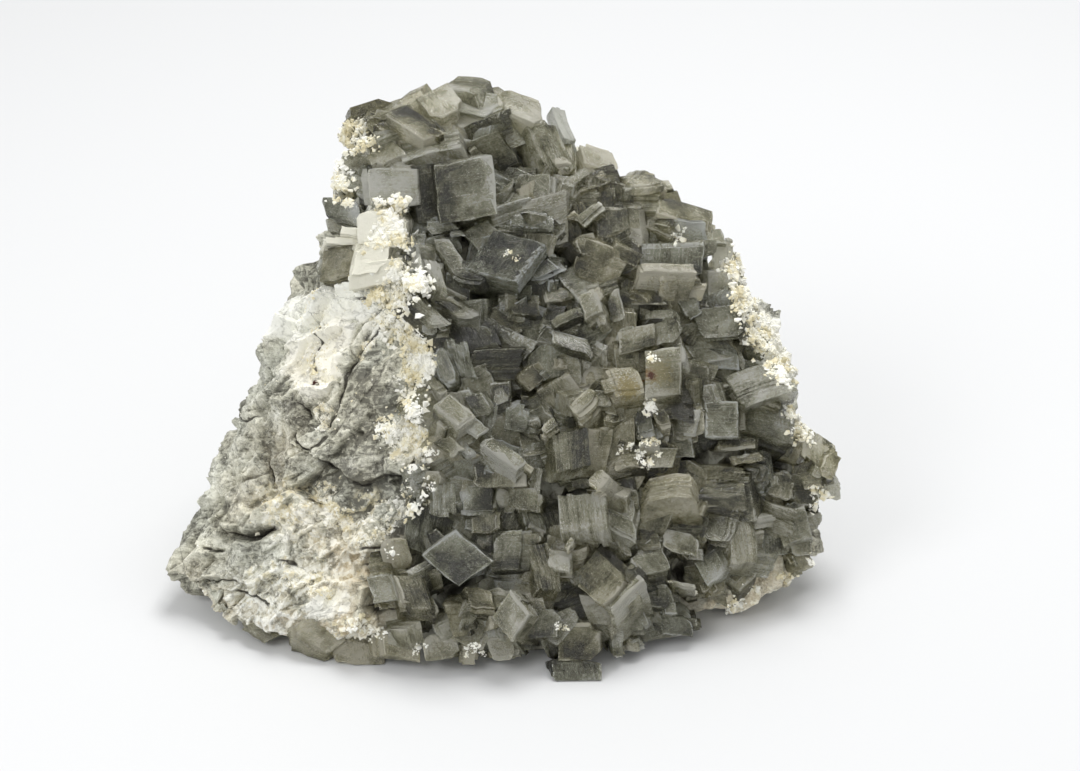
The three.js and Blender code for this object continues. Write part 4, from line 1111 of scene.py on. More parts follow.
DARK_AREAS = (
    (((-8, 92), (6, 84)), 9, 0.09),
    (((42, 98), (50, 88)), 7, 0.08),
    (((52, 60), (70, 48)), 9, 0.1),
    (((22, 28), (36, 24)), 8, 0.16),
    (((-24, 20), (-12, 22)), 7, 0.12),
    (((-26, 140), (-16, 136)), 5, 0.16),
    (((-20, 124), (-17, 118)), 3, 0.2),
    (((34, 48), (52, 46)), 6, 0.16),
    (((4, 72), (5, 68)), 4, 0.16),
    (((62, 72), (66, 68)), 4, 0.16),
    (((8, 102), (14, 98)), 4, 0.14),
)
WARM_AREAS = (
    (((-42, 144), (-28, 144)), 8, 0.4),
    (((14, 122), (30, 106)), 9, 0.35),
    (((36, 122), (50, 118)), 6, 0.3),
    (((30, 54), (50, 50)), 9, 0.3),
    (((-30, 30), (-14, 14)), 9, 0.3),
    (((14, 74), (34, 78)), 8, 0.3),
    (((64, 24), (74, 36)), 8, 0.35),
)
COOL_AREAS = (
    (((-36, 126), (-14, 122)), 9, 0.4),
    (((-22, 112), (-4, 106)), 9, 0.4),
    (((-20, 34), (-8, 32)), 6, 0.4),
    (((36, 106), (48, 104)), 6, 0.3),
    (((-14, 84), (10, 92)), 9, 0.2),
)
# Stains, as (across, up, reach, colour and strength).
STAINS = (
    (29.5, 74.5, 4.0, (0.50, 0.41, 0.13, 1), 0.8),
    (36.5, 78.5, 4.5, (0.52, 0.45, 0.22, 1), 0.7),
    (35.0, 77.8, 1.9, (0.42, 0.20, 0.05, 1), 0.8),
    (35.3, 77.6, 1.2, (0.13, 0.025, 0.006, 1), 1.0),
    (33.2, 76.2, 0.7, (0.30, 0.10, 0.02, 1), 1.0),
)
# Crystals that stand apart from the rest on the rock: the same rows, with a name.
LONE_CRYSTALS = {
    "left_edge_crystal": (-47, 110, 9, 1.5, 4, -1, -9, 1, 8, 4, 0.44, ""),
    "left_toe_crystal": (-68.5, 14.3, 6, 2.5, -1, 7, -3.8, 2, 6, 3, 0.62, "s"),
    "pale_toe_crystal": (-56.5, 14.6, 10, -6.6, 1, 6, 4.2, -2, 6, 4, 0.84, "s"),
    "front_toe_crystal": (-45.5, 13, 13, -1.5, 0, 1.5, -7, 1, 5, 3, 0.8, "s"),
}


def placed(row, leaning):
    """Where a crystal of a row lies: the middle of its face, its edges a and b, and its inward edge."""
    place = np.array(row[:2])
    a, b = np.array(row[2:5], float), np.array(row[5:8], float)
    depth, proud = row[8:10]
    place = place + (a[:2] + b[:2]) / 2
    for share in np.arange(0, 1, 0.02):
        target = place + (np.array(ROCK_MIDDLE) - place) * share
        found, _ = first_seen(block_tree, *target)
        if found is not None:
            break
    level = (np.array(found) - SHEET_FOOT) @ OUT + proud
    sheet = np.stack((ACROSS, UP, OUT))
    first, second = a @ sheet, b @ sheet
    inward = inward_edge(first, second, leaning) * (depth + proud)
    return on_sight_line(*place, level), first, second, inward


def fits(at):
    """Whether a crystal's corners, the back ones 0.7 of the way in, lie within the specimen's outline."""
    middle, a, b, inward = at
    shares = [(x, y, z) for x in (-0.5, 0.5) for y in (-0.5, 0.5) for z in (0, 0.7)]
    corners = middle + np.array(shares) @ np.stack((a, b, inward))
    return inside(SILHOUETTE, sheet_places(corners)[:, :2]).all()


def inward_edge(first, second, leaning):
    """The third edge of a dolomite rhomb, pointing in from its face."""
    first, second = first / np.linalg.norm(first), second / np.linalg.norm(second)
    between = np.clip(first @ second, -0.8, 0.8)
    to_first = EDGE_COSINE * leaning
    to_second = to_first if between < 0 else -to_first
    spread = 1 - between * between
    in_plane = first * (to_first - between * to_second) / spread
    in_plane = in_plane + second * (to_second - between * to_first) / spread
    normal = np.cross(first, second)
    normal = normal / np.linalg.norm(normal)
    if normal @ OUT > 0:
        normal = -normal
    edge = in_plane + normal * math.sqrt(max(0.2, 1 - in_plane @ in_plane))
    return edge / np.linalg.norm(edge)


def square_outline(sides):
    """Points round a square that reaches from -1 to 1, and the number of the side that each is on."""
    turn = np.arange(4 * sides)
    side = turn // sides
    along = turn % sides / sides * 2 - 1
    end = np.ones(len(turn))
    ways = ((along, -end), (end, along), (-along, end), (-end, -along))
    return np.select([side[:, None] == n for n in range(4)], [np.stack(way, 1) for way in ways]), side


def shell_faces(count, rings):
    """Triangles over rings of this many points, closed by a point in the middle of the first and last."""
    at = np.arange(count)
    after = (at + 1) % count
    last = (rings - 1) * count
    first_tip, last_tip = np.full(count, rings * count), np.full(count, rings * count + 1)
    faces = [np.column_stack((after, at, first_tip))]
    for start in range(0, last, count):
        faces.append(start + np.column_stack((at, after, after + count)))
        faces.append(start + np.column_stack((at, after + count, at + count)))
    faces.append(np.column_stack((last + at, last + after, last_tip)))
    return np.concatenate(faces)


class Growth:
    """Crystals gathered one by one, then joined into one mesh of solids."""

    def __init__(self, seed):
        self.random = np.random.default_rng(seed)
        self.solids = []

    def leaf_offsets(self, leaves, size, book, chipped):
        """How far each side of each leaf stands out, in millimetres."""
        random = self.random
        shaken = random.normal(0, 0.1, (leaves, 4))
        stepped = random.normal(0, 0.4, (leaves, 4))
        offsets = shaken + stepped * (random.random((leaves, 4)) < (0.4 if book else 0.3))
        if chipped and not book:
            for side in range(4):
                if random.random() < 0.42:
                    offsets[: random.integers(1, 3), side] -= random.uniform(0.05, 0.28) * size
        return np.clip(offsets, -0.3 * size, 0.07 * size)

    def ragged_outline(self, square, sides, size, chipped):
        """How far each point of a crystal's outline strays. Some corners are broken off."""
        random = self.random
        ragged = random.normal(0, 0.15, square.shape)
        for corner in range(0, len(square), sides):
            if random.random() < 0.38 and chipped:
                ragged[corner] -= square[corner] * random.uniform(0.02, 0.2) * size
        return ragged

    def painted_highlights(self, side, rings, centres, edges, marks, book):
        """How pale each triangle is: painted highlights on the bevel, on the ledges between leaves and on
        marked sides, which are palest.
        """
        count = len(side)
        bright = np.clip(self.random.normal(0.45, 0.55, 4), 0, 1.6)
        tip = np.zeros(count)
        band = np.concatenate((tip, np.repeat(np.arange(1, rings), 2 * count), tip))
        own_side = bright[np.tile(side, 2 * rings)]
        pale = np.where(band == BEVEL_BAND, own_side, 0.0)
        pale = np.where((band > BEVEL_BAND) & (band % 2 == 0), LEDGE_PALENESS * own_side, pale)
        if book:
            return pale
        length_a, length_b, depth = edges
        across_a, across_b, deep = centres.T
        outwards = np.stack((-across_a, across_a, -across_b, across_b))
        beyond = outwards - np.repeat((length_a, length_b), 2)[:, None] / 2
        for name, number in SIDES.items():
            if name in marks:
                near = (beyond.argmax(axis=0) == number) & (beyond[number] > -0.7)
                pale = np.where(near & (deep < 0.45 * depth), SIDE_PALENESS, pale)
        return pale

    def add(self, at, tone, marks="", leaves=4, sides=4, leaf_depth=1.5, bend=0.03, warmth=0.5):
        """One crystal: rings of points from the middle of its face over its stepped sides to its back."""
        random = self.random
        middle, a, b, inward = at
        # a book stands on its side: its leaves follow edge a or b
        if "a" in marks:
            middle, a, b, inward = middle - a / 2 + inward / 2, -inward, b, a
        elif "b" in marks:
            middle, a, b, inward = middle - b / 2 + inward / 2, a, -inward, b
        book = "a" in marks or "b" in marks
        chipped = "p" not in marks
        edges = np.array([np.linalg.norm(edge) for edge in (a, b, inward)])
        units = np.stack((a, b, inward)) / edges[:, None]
        length_a, length_b, depth = edges
        size = min(length_a, length_b)
        if book:
            leaves = int(np.clip(depth / leaf_depth, 4, 10))
            bend *= BOOK_BEND
        thick = random.uniform(0.3, 1.0, leaves) * (1 if book else np.linspace(0.25, 1.6, leaves))
        thick *= depth / thick.sum()
        offsets = self.leaf_offsets(leaves, size, book, chipped)
        square, side = square_outline(sides)
        count = len(square)
        ragged = self.ragged_outline(square, sides, size, chipped)
        curve_a, curve_b = np.array((bend, -bend)) * random.normal(0, 1, 2) * size
        twist = random.normal(0, bend) * size * 0.6

        def ring(leaf, spread, deep):
            """One ring round a leaf, in (a, b, inward) millimetres."""
            low = np.array((-length_a / 2 - offsets[leaf, 0], -length_b / 2 - offsets[leaf, 2]))
            high = np.array((length_a / 2 + offsets[leaf, 1], length_b / 2 + offsets[leaf, 3]))
            flat = (low + high) / 2 + (high - low) / 2 * square * spread
            flat = flat + ragged * min(1, spread ** 3)
            return np.column_stack((flat, np.zeros(count) + deep))

        rings = [ring(0, 0.8, random.normal(0, 0.04, count)), ring(0, 1 - 2 * BEVEL / size, 0.0)]
        deep = 0.0
        for leaf in range(leaves):
            jitter = random.normal(0, 0.04, (count, 2))
            for end in (BEVEL if leaf == 0 else LEDGE_DROP, thick[leaf]):
                layer = ring(leaf, 1, deep + end)
                layer[:, :2] += jitter
                rings.append(layer)
            deep += thick[leaf]
        tips = [rings[0].mean(axis=0), rings[-1].mean(axis=0)]
        local = np.concatenate((*rings, tips))

        share_a, share_b = (local[:, :2] / (edges[:2] / 2)).T
        fold = curve_a * share_a ** 2 + curve_b * share_b ** 2 + twist * share_a * share_b
        normal = np.cross(units[0], units[1])
        normal *= -np.sign(normal @ units[2]) / np.linalg.norm(normal)
        points = middle + local @ units + normal * fold[:, None]
        faces = shell_faces(count, len(rings))
        corners = points[faces]
        volume = (corners[:, 0] * np.cross(corners[:, 1], corners[:, 2])).sum()
        if volume < 0:
            faces = faces[:, ::-1]

        pale = self.painted_highlights(side, len(rings), local[faces].mean(axis=1), edges, marks, book)
        dual = np.linalg.inv(units.T)  # ways that measure a place along the three edges
        # painted light: the face grows paler towards its marked sides
        slope = SIDE_SLOPE * np.array((("E" in marks) - ("W" in marks), ("S" in marks) - ("N" in marks)))
        values = {
            "middle": middle,
            "along_a": dual[0],
            "along_b": dual[1],
            "inward": dual[2],
            "extent": edges / 2,
            "tone": tone + random.normal(0, 0.03),
            "own": random.random(),
            "grain": random.random() ** 1.5,
            "lean": np.append(random.normal(0, 0.17, 2) + slope, 0),
            "warmth": warmth + random.normal(0, 0.22),
            "book": float(book),
        }
        self.solids.append((points, faces, values, pale))

    def companions(self, at, tone, number, warmth=0.5):
        """Smaller crystals grown nearly parallel to a large one, over its edges."""
        random = self.random
        middle, a, b, inward = at
        for _ in range(number):
            share = random.uniform(0.28, 0.62, 2)
            place = random.uniform(-0.5, 0.5, 2)
            edge = random.integers(2)
            place[edge] = random.choice((-1, 1)) * random.uniform(0.36, 0.52)
            lower = random.uniform(0.0, 0.4)
            axis = Vector(random.normal(0, 1, 3)).normalized()
            turn = np.array(Matrix.Rotation(random.normal(0, 0.09), 3, axis))
            small = (
                middle + a * place[0] + b * place[1] + inward * lower,
                turn @ a * share[0],
                turn @ b * share[1],
                turn @ inward * random.uniform(0.3, 0.6),
            )
            if fits(small):
                self.add(small, tone + random.normal(0, 0.08), leaves=2, sides=3, warmth=warmth)

    def mesh(self, name, clearances):
        """Joins crystals, adding in each round ones that do not touch, and trims them above the ground."""
        clouds = [solid[0] for solid in self.solids]
        middles = np.array([(cloud.min(axis=0) + cloud.max(axis=0)) / 2 for cloud in clouds])
        reach = np.array(
            [np.linalg.norm(cloud - middle, axis=1).max() for cloud, middle in zip(clouds, middles)]
        )
        rounds = []
        for n in np.argsort(-reach):
            for members in rounds:
                gap = np.linalg.norm(middles[members] - middles[n], axis=1) - reach[members] - reach[n]
                if gap.min() > 0:
                    members.append(n)
                    break
            else:
                rounds.append([n])
        joined = None
        for members in rounds:
            part = self.gathered(name, [self.solids[n] for n in members])
            joined = part if joined is None else solid_result(joined, part, "UNION")
        for start, end, top in clearances:
            near, far = -GROUND_REACH / METRE, GROUND_REACH / METRE
            square = ((start, near), (end, near), (end, far), (start, far))
            corners = [(x / METRE, y, z / METRE) for z in (-GROUND_DEPTH, top) for x, y in square]
            walls = [(n, (n + 1) % 4, (n + 1) % 4 + 4, n + 4) for n in range(4)]
            ground = bpy.data.meshes.new("ground")
            ground.from_pydata(corners, [], [(3, 2, 1, 0), (4, 5, 6, 7), *walls])
            joined = solid_result(joined, ground, "DIFFERENCE")
        joined.set_sharp_from_angle(angle=SHARP_CRYSTAL)
        return joined

    def gathered(self, name, solids):
        points, faces, values, pale = zip(*solids)
        starts = np.cumsum([0] + [len(cloud) for cloud in points])
        faces_of_all = np.concatenate([part + start for part, start in zip(faces, starts)])
        mesh = new_mesh(name, np.concatenate(points), faces_of_all)
        counts = [len(part) for part in faces]
        shared = {key: np.repeat([own[key] for own in values], counts, axis=0) for key in values[0]}
        store(mesh, "FACE", pale=np.concatenate(pale), **shared)
        return mesh


def solid_result(first, second, operation):
    """One mesh made from two closed meshes, which are then no longer needed."""
    objects = [add_object("part", mesh) for mesh in (first, second)]
    change = objects[0].modifiers.new("join", "BOOLEAN")
    change.operation = operation
    change.solver = "MANIFOLD"
    change.object = objects[1]
    shown = objects[0].evaluated_get(bpy.context.evaluated_depsgraph_get())
    mesh = bpy.data.meshes.new_from_object(shown)
    mesh.name = first.name
    for made in objects:
        bpy.data.objects.remove(made)
    bpy.data.meshes.remove(first)
    bpy.data.meshes.remove(second)
    return mesh


def balance(raising, lowering, place):
    """How much a place lies in the first table's patches, less how much it lies in the second's."""
    here = np.array([place])
    return patches(raising, here)[0] - patches(lowering, here)[0]


growth = Growth(DRUSE_SEED)
for number, row in enumerate(LARGE_CRYSTALS):
    tone, marks = row[10:]
    # crystals lean one way and the other in turn, unless only the other way keeps them in the outline
    ways = [placed(row, leaning) for leaning in ((1, -1) if number % 2 else (-1, 1))]
    at = ways[0] if fits(ways[0]) or not fits(ways[1]) else ways[1]
    warmth = 0.5 + balance(WARM_AREAS, COOL_AREAS, row[:2])
    growth.add(at, tone, marks, leaves=5, leaf_depth=0.95, warmth=warmth)
    if not set("abs") & set(marks):
        growth.companions(at, tone, 1 if "p" in marks else 2, warmth)


# Each row: the grid's spacing, shortest and longest edge, least and most that the face stands out, depth,
# steepest slope, tone and its spread, leaves, points along a side, and the share that is turned any way.
FILLINGS = (
    (8.0, (9.0, 14.0), (0.5, 2.5), 5, 0.3, (0.40, 0.10), 3, 4, 0.12),
    (7.0, (7.0, 12.0), (1.2, 3.8), 6, 0.36, (0.43, 0.11), 4, 3, 0.14),
    (9.5, (2.6, 6.0), (3.0, 5.0), 5, 0.6, (0.48, 0.12), 2, 3, 0.2),
)
FILLED_ACROSS, FILLED_UP = (-42, 80), (6, 150)
GRID_SHAKE = 0.45  # how far a crystal strays from its place on the grid, in spacings
HOLLOW_MARGIN = 0.36  # how far it keeps from a hollow, in lengths of its own


def fill(spacing, edge, proud, depth, tilt, tone, leaves, sides, stray):
    """Smaller crystals on a shaken grid over the face, but not in its hollows."""
    random = growth.random
    hollows = np.array(HOLLOWS)
    for up in np.arange(*FILLED_UP, spacing):
        for across in np.arange(*FILLED_ACROSS, spacing):
            place = np.array((across, up)) + random.uniform(-GRID_SHAKE, GRID_SHAKE, 2) * spacing
            turn = random.uniform(-0.5, 0.5) if random.random() > stray else random.uniform(0, math.pi)
            lengths = random.uniform(*edge, 2)
            slopes = random.uniform(-tilt, tilt, 2)
            stands = random.uniform(*proud)
            shade = random.normal(*tone)
            mirrored = random.random() < 0.5
            if not inside(DRUSE_OUTLINE, place[None])[0]:
                continue
            away = np.linalg.norm(hollows[:, :2] - place, axis=1)
            if (away < hollows[:, 2] + HOLLOW_MARGIN * lengths.mean()).any():
                continue
            angles = (turn, turn - math.acos(EDGE_COSINE * (1 if mirrored else -1)))
            row = []
            for angle, length, slope in zip(angles, lengths, slopes):
                flat = length / math.hypot(1, slope)
                row += [flat * math.cos(angle), flat * math.sin(angle), flat * slope]
            corner = place - (np.array(row[0:2]) + np.array(row[3:5])) / 2
            row = (*corner, *row, depth, stands)
            marks = random.choice(["", "", "", "a", "b"])
            at = placed(row, random.choice((-1, 1)))
            shade += balance(PALE_AREAS, DARK_AREAS, place)
            warmth = 0.5 + balance(WARM_AREAS, COOL_AREAS, place)
            if fits(at):
                growth.add(at, shade, marks, leaves=leaves, sides=sides, bend=0.05, warmth=warmth)


for settings in FILLINGS:
    fill(*settings)
druse_mesh = growth.mesh("dolomite_crystals", DRUSE_CLEARANCES)
druse = add_object("dolomite_crystals", druse_mesh)

druse_points, druse_faces = mesh_arrays(druse_mesh)
druse_tree = tree_of(druse_points, druse_faces)

SMOKE_DARK = (0.044, 0.042, 0.026, 1)
SMOKE = (0.234, 0.226, 0.138, 1)
SMOKE_PALE = (0.56, 0.55, 0.415, 1)
MILK = (0.95, 0.945, 0.885, 1)
CRYSTAL_BUMP = 0.4


def crystal_look(name, clearness, lift, cool, warm):
    """A material of the crystals: how clear it is, how much paler, and its coolest and warmest tints.

    Each crystal keeps its own middle, edges and half lengths, so that lines, leaves and clouds follow it.
    """
    look = Look(name, IOR=1.62, Transmission_Weight=clearness, Specular_IOR_Level=0.5)
    place = look.position()
    own, grain, book, pale = (look.attribute(key) for key in ("own", "grain", "book", "pale"))
    where = look.vector("SCALE", place, Scale=METRE)
    where = look.vector("SUBTRACT", where, look.attribute("middle", "Vector"))
    ways = (look.attribute(edge, "Vector") for edge in ("along_a", "along_b", "inward"))
    a_place, b_place, deep_place = (look.measure("DOT_PRODUCT", where, way) for way in ways)
    half_a = look.split(look.attribute("extent", "Vector"))
    half_b = half_a.output(1)
    lean_a = look.split(look.attribute("lean", "Vector"))
    lean_b = lean_a.output(1)
    border = (half_a - a_place.size()).least(half_b - b_place.size())  # how far in from its sides

    def crystal_space(along_a, along_b, inward):
        """A place for noise that is stretched by these amounts along the crystal's edges."""
        along = (a_place * along_a + own * 91.0, b_place * along_b + own * 57.0, deep_place * inward)
        return look.node("ShaderNodeCombineXYZ", {}, dict(enumerate(along)))

    def noise(along_a, along_b, inward, *settings):
        return look.noise(crystal_space(along_a, along_b, inward), 1.0, *settings)

    def cells(along_a, along_b, inward):
        """Angular patches, each with a value of its own."""
        place = crystal_space(along_a, along_b, inward)
        return look.split(look.cells(place, distance="CHEBYCHEV"), "Color")

    # clouds and fine mottle, lines along one edge or the other, the leaves, and flat patches and chips
    cloud = noise(0.15, 0.15, 0.15, 4.0, 0.55, 0.4)
    fine = noise(1.4, 1.4, 1.4, 4.0, 0.65)
    either = own.step(0.45, 0.55)
    lines = noise(0.10, 2.8, 0.5, 4.0, 0.66, 0.3) * either
    lines = lines + noise(2.8, 0.10, 0.5, 4.0, 0.66, 0.3) * (1 - either)
    leaf_lines = noise(0.08, 0.08, 2.6, 4.0, 0.7)
    patch = cells(0.42, 0.42, 0.5)
    chips = cells(1.0, 1.5, 1.2)

    # a painted rim of light on its face, a painted highlight at its edges, traces of cleavage, painted
    # glints and cracks
    rim = (border + (fine - 0.5) * 1.2).step(1.1, 0.1) * deep_place.step(1.6, 0.3)
    edge_highlight = (border + (fine - 0.5) * 0.5).step(0.40, 0.14) * deep_place.step(0.7, 0.2)
    edge_highlight = edge_highlight * (fine * 0.5 + cloud * 0.5).step(0.44, 0.56)
    ways = ((0.05, 1.1, 0.5), (1.1, 0.05, 0.5))
    first_traces, second_traces = (look.threads(noise(*way, 3.0, 0.6), 0.004, 0.022) for way in ways)
    traces = first_traces.most(second_traces) * fine.step(0.42, 0.6)
    glints = noise(1.1, 1.1, 1.1, 3.0, 0.7).step(0.66, 0.72)
    cracks = look.threads(noise(0.5, 0.5, 0.9, 5.0, 0.7, 1.2), 0.002, 0.014)

    # from painted shade deeper in, towards the rock, to a painted highlight at its edges
    shade = look.attribute("tone") + lift + (cloud - 0.5) * 1.7 + (fine - 0.5) * 0.3
    shade = shade + traces * 0.26 + glints * 0.3 + cracks * 0.22
    # a slope of tone across the face, partly at random and partly painted light towards its marked sides
    shade = shade + a_place / half_a * lean_a + b_place / half_b * lean_b
    # painted shade: the sides of all but books grow darker deeper in, towards where the crystal meets the
    # rock
    shade = shade - deep_place.step(0.8, 4.5) * (1 - book) * 0.22
    shade = shade + (lines - 0.5) * (grain * 0.75 + 0.3) + (leaf_lines - 0.5) * (book * 0.9 + 0.35)
    # painted highlights: sparkles along the bright line at its edges, the line itself, and the rim of light
    shade = shade + edge_highlight * fine.step(0.53, 0.60) * 0.6 + rim * own * 0.2 + edge_highlight * 0.34
    # painted highlights on the bevel, the ledges and the marked sides
    shade = shade + pale * (lines * 0.5 + (fine - 0.5) * 0.9 + 0.2)
    shade = shade + (patch - 0.5) * 0.2 + (chips - 0.5) * cloud.step(0.4, 0.6) * 0.22

    colour = look.mix(shade.step(0.08, 0.46), SMOKE_DARK, SMOKE)
    colour = look.mix(shade.step(0.38, 0.74), colour, SMOKE_PALE)
    colour = look.mix(shade.step(0.66, 1.1), colour, MILK)
    for across, up, reach, stain, most in STAINS:
        struck = np.array(first_seen(druse_tree, across, up)[0]) / METRE
        away = look.measure("DISTANCE", place, tuple(struck)) * METRE
        away = away + (fine - 0.5) * 2.5 * reach + (cloud - 0.5) * reach
        colour = look.mix(away.step(reach, 0.45 * reach) * most, colour, stain)
    warmth = look.attribute("warmth") + (look.attribute("tone") - 0.6).most(0.0)
    colour = look.mix(1.0, colour, look.mix(warmth, cool, warm), "MULTIPLY")

    height = fine * 0.2 + lines * (grain * 0.4 + 0.15) + leaf_lines * 0.6
    height = height + patch * 0.35 + chips * 0.3 - traces * 0.3
    look.surface_takes(
        Base_Color=colour,
        Roughness=0.03 + cloud * 0.27,
        Normal=look.bump(height, 0.6, CRYSTAL_BUMP),
    )
    return look.material


smoky = crystal_look("smoky_dolomite", 0.7, 0.01, (0.93, 0.97, 1.01, 1), (1.05, 1.0, 0.83, 1))
milky = crystal_look("milky_dolomite", 0.15, 0.3, (1.0, 0.99, 0.95, 1), (1.02, 1.0, 0.90, 1))


def take_crystal_materials(mesh):
    """Gives milky dolomite to the palest crystals of a mesh and smoky dolomite to the rest."""
    mesh.materials.clear()
    mesh.materials.append(smoky)
    mesh.materials.append(milky)
    tones = np.empty(len(mesh.polygons), np.float32)
    mesh.attributes["tone"].data.foreach_get("value", tones)
    mesh.polygons.foreach_set("material_index", (tones > MILKY_TONE).astype(np.int32))


take_crystal_materials(druse_mesh)
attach(druse, "root")
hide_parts("crystal_druse")

for name, row in LONE_CRYSTALS.items():
    tone, marks = row[10:]
    growth = Growth(len(name))  # the length of its name serves as its seed
    at = placed(row, 1)
    growth.add(at, tone, marks, leaves=5, sides=5, warmth=0.9)
    if "s" not in marks:
        growth.companions(at, tone, 3)
    mesh = growth.mesh(name, LONE_CLEARANCES)
    take_crystal_materials(mesh)
    single = add_object(name + "_grown", mesh)
    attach(single, "root")
    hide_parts(name)

# ---- Crust grains -------------------------------------------------------------------------------------
# White and cream grains of younger dolomite, dusted over the bare stone and along the rim of the crystals.
# They are angular crumbs a millimetre or so across, set a little way into what they grew on.

GRAIN_SEED = 17
GRAINS_ON_STONE, STONE_GRAIN, STONE_FLAKES = 2200, 0.85, 0.6  # how many, how long, and the share of flakes
GRAINS_TOGETHER, FLAKES_TOGETHER = (12, 27), 14  # grains lie in heaps of so many, and the first are flakes
PILE_HEIGHT = 0.6
LONGEST_GRAIN = 2.2
FLAKE_THICKNESS, CRUMB_THICKNESS = 0.2, 0.45  # as shares of the length
LEAST_HEIGHT = 0.02  # no grain reaches lower than this
CREAM_GRAIN = (0.78, 0.71, 0.49, 1)
PALE_GRAIN = (0.89, 0.86, 0.72, 1)
WHITE_GRAIN = (0.96, 0.95, 0.88, 1)
# Where grains lie thick: a path, how far heaps of them stray from it, how many heaps, and a grain's length.
GRAIN_CLUSTERS = (
    (((-31, 92), (-27, 87), (-22, 83)), 1.6, 30, 1.1),
    (((-22, 83), (-24, 78), (-25, 70), (-24, 62)), 1.5, 44, 1.1),
    (((-30, 66), (-24, 56)), 2.2, 22, 0.9),
    (((-42, 140), (-43, 131), (-42, 123)), 1.3, 34, 1.2),
    (((-40, 141), (-36, 138.5)), 0.4, 6, 0.7),
    (((-37, 135), (-34, 136)), 0.7, 8, 0.9),
    (((-32, 119), (-27, 119.5)), 1.4, 14, 1.2),
    (((-31, 113), (-26.5, 110.5)), 1.4, 18, 1.3),
    (((-28, 103), (-23.5, 99)), 1.6, 24, 1.4),
    (((-34, 98), (-29, 96)), 1.6, 14, 1.1),
    (((55.5, 107), (58, 101), (59.5, 92), (62.5, 87)), 1.2, 42, 1.1),
    (((63.5, 87), (67, 81), (70, 76)), 1.2, 32, 1.1),
    (((71, 70), (73, 65), (75, 62)), 1.3, 14, 0.9),
    (((28.5, 58), (33, 56.5), (37, 57.5)), 1.3, 10, 0.6),
    (((31.5, 60.4), (37, 61.2)), 0.35, 5, 0.5),
    (((34.6, 70.5), (35.2, 67.5)), 0.5, 4, 0.8),
    (((35.3, 83), (36, 81.5)), 0.5, 2, 0.7),
    (((42, 112.5), (42.4, 112.4)), 0.5, 2, 0.8),
    (((-3.5, 105.5), (1.5, 108.5)), 1.0, 2, 0.5),
    (((-36, 36), (-30, 42)), 2.2, 8, 0.8),
    (((-28, 44), (-22, 49)), 1.8, 10, 0.9),
    (((-40, 14), (-34, 13)), 2.0, 8, 0.9),
    (((55, 18), (66, 22), (74, 28)), 2.4, 12, 1.0),
    (((76, 50), (79, 44)), 1.4, 6, 0.9),
    (((-10, 10), (-7, 7.5)), 1.2, 6, 0.5),
    (((12, 17), (13, 14)), 0.6, 2, 0.5),
    (((-20, 10), (-28, 12)), 1.5, 4, 0.5),
)
# A grain's corners are 0 to 4 round its foot and 5 to 9 round its top.
FIVE = np.arange(5)
NEXT = (FIVE + 1) % 5
GRAIN_FACES = np.concatenate((
    np.stack((FIVE, NEXT, NEXT + 5), 1),
    np.stack((FIVE, NEXT + 5, FIVE + 5), 1),
    ((5, 6, 7), (5, 7, 8), (5, 8, 9), (0, 2, 1), (0, 3, 2), (0, 4, 3)),
))

whole_tree = tree_of(
    np.concatenate((stone_points, druse_points)),
    np.concatenate((stone_faces, druse_faces + len(stone_points))),
)
random = np.random.default_rng(GRAIN_SEED)


def heaped(path, stray, heaps, length):
    """Seats of grains in heaps along a path. The first grains of a heap are flakes."""
    path = np.array(path, float)
    seats = []
    for _ in range(heaps):
        stretch = random.integers(len(path) - 1)
        start, end = path[stretch : stretch + 2]
        middle = start + (end - start) * random.random() + random.normal(0, stray, 2)
        for n in range(random.integers(*GRAINS_TOGETHER)):
            is_flake = n < FLAKES_TOGETHER
            place = middle + random.normal(0, (1.0 if is_flake else 0.75) * length, 2)
            found, normal = first_seen(whole_tree, *place)
            if found is not None:
                pile = max(0.0, 1 - np.linalg.norm(place - middle) / length) * random.random()
                out = np.array(normal) + OUT * (0.8 if is_flake else 0)
                lifted = np.array(found) + OUT * pile * PILE_HEIGHT * length
                seats.append((lifted, out, (1.9 if is_flake else 0.8) * length, is_flake))
    return seats


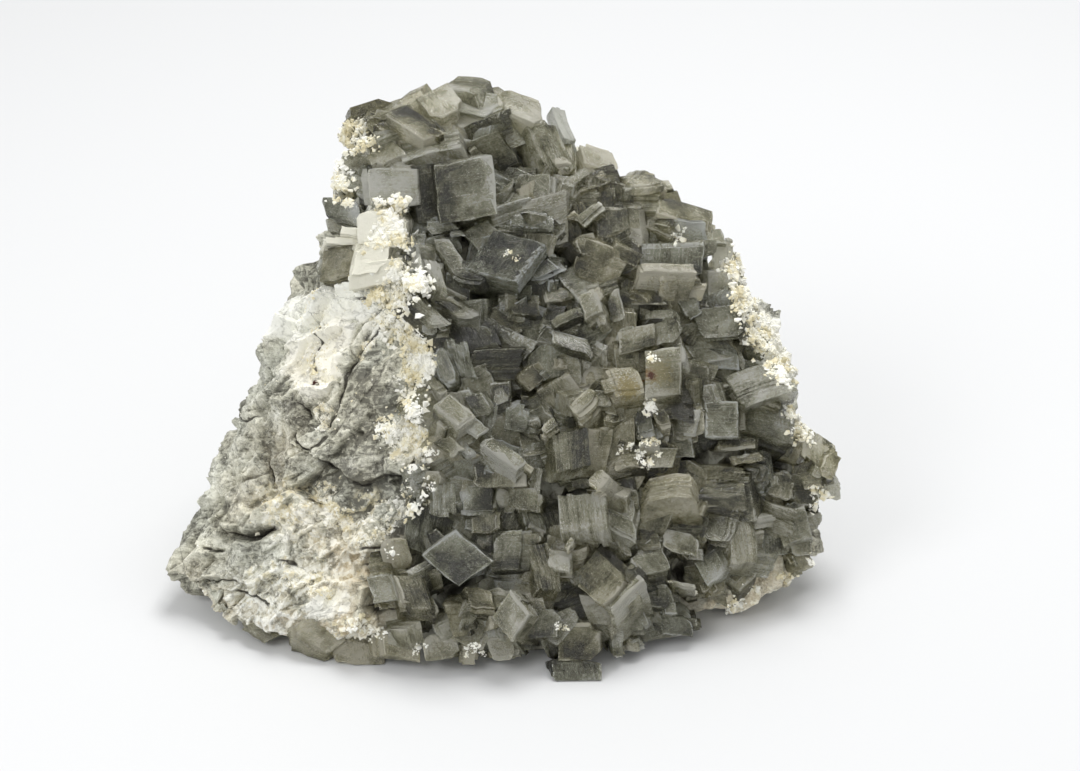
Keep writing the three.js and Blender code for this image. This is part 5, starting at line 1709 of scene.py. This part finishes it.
def grain(seat, out, length, is_flake):
    """The corners of one grain: two uneven rings of five, turned any way round on its seat."""
    thick = FLAKE_THICKNESS if is_flake else CRUMB_THICKNESS
    size = min(0.58 * length * random.lognormal(0, 0.4), LONGEST_GRAIN)
    size = size * np.array((0.6, random.uniform(0.35, 0.6), thick))
    angles = (FIVE + random.uniform(-0.35, 0.35, 5)) * math.tau / 5
    rim = np.stack((np.cos(angles), np.sin(angles)), 1) * random.uniform(0.4, 1.3, 5)[:, None]
    low = np.column_stack((rim, np.full(5, -0.5)))
    rim = rim * random.uniform(0.5, 0.95, 5)[:, None]
    high = np.column_stack((rim, 0.5 + random.uniform(-0.35, 0.35, 5)))
    upright = out / np.linalg.norm(out) + random.normal(0, 0.3 if is_flake else 0.7, 3)
    upright /= np.linalg.norm(upright)
    first = np.cross(upright, random.normal(0, 1, 3))
    first /= np.linalg.norm(first)
    turned = np.stack((first, np.cross(upright, first), upright))
    return np.concatenate((low, high)) * size @ turned + seat + upright * 0.1 * size[2]


# each seat: where a grain sits, the way out of the ground there, its length, and whether it is a flake
weight = crumb ** 2 * np.clip(0.5 + 2 * smooth_noise(stone_points, 2.5, 44), 0.02, 1) + 0.004 * flank
chosen = random.choice(len(stone_points), GRAINS_ON_STONE, p=weight / weight.sum())
seats = [
    (stone_points[n], stone_normals[n], STONE_GRAIN, random.random() < STONE_FLAKES) for n in chosen
]
for cluster in GRAIN_CLUSTERS:
    seats += heaped(*cluster)
grown = [(grain(*seat), random.random()) for seat in seats]
grain_points = np.concatenate([corners for corners, _ in grown])
grain_points[:, 2] = np.maximum(grain_points[:, 2], LEAST_HEIGHT)
grain_faces = (GRAIN_FACES + 10 * np.arange(len(seats))[:, None, None]).reshape(-1, 3)
grain_mesh = new_mesh("crust_grains", grain_points, grain_faces)
store(grain_mesh, "FACE", own=np.repeat([own for _, own in grown], len(GRAIN_FACES)))
grain_mesh.shade_flat()
grains = add_object("crust_grains", grain_mesh)
grain_look = Look("white_crust", Roughness=0.75, Specular_IOR_Level=0.4)
grain_shade = grain_look.noise(grain_look.position(), 170.0) + (grain_look.attribute("own") - 0.5) * 0.16
grain_colour = grain_look.mix(grain_shade.step(0.38, 0.48), CREAM_GRAIN, PALE_GRAIN)
grain_colour = grain_look.mix(grain_shade.step(0.47, 0.59), grain_colour, WHITE_GRAIN)
grain_look.surface_takes(Base_Color=grain_colour)
grain_mesh.materials.append(grain_look.material)
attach(grains, "root")
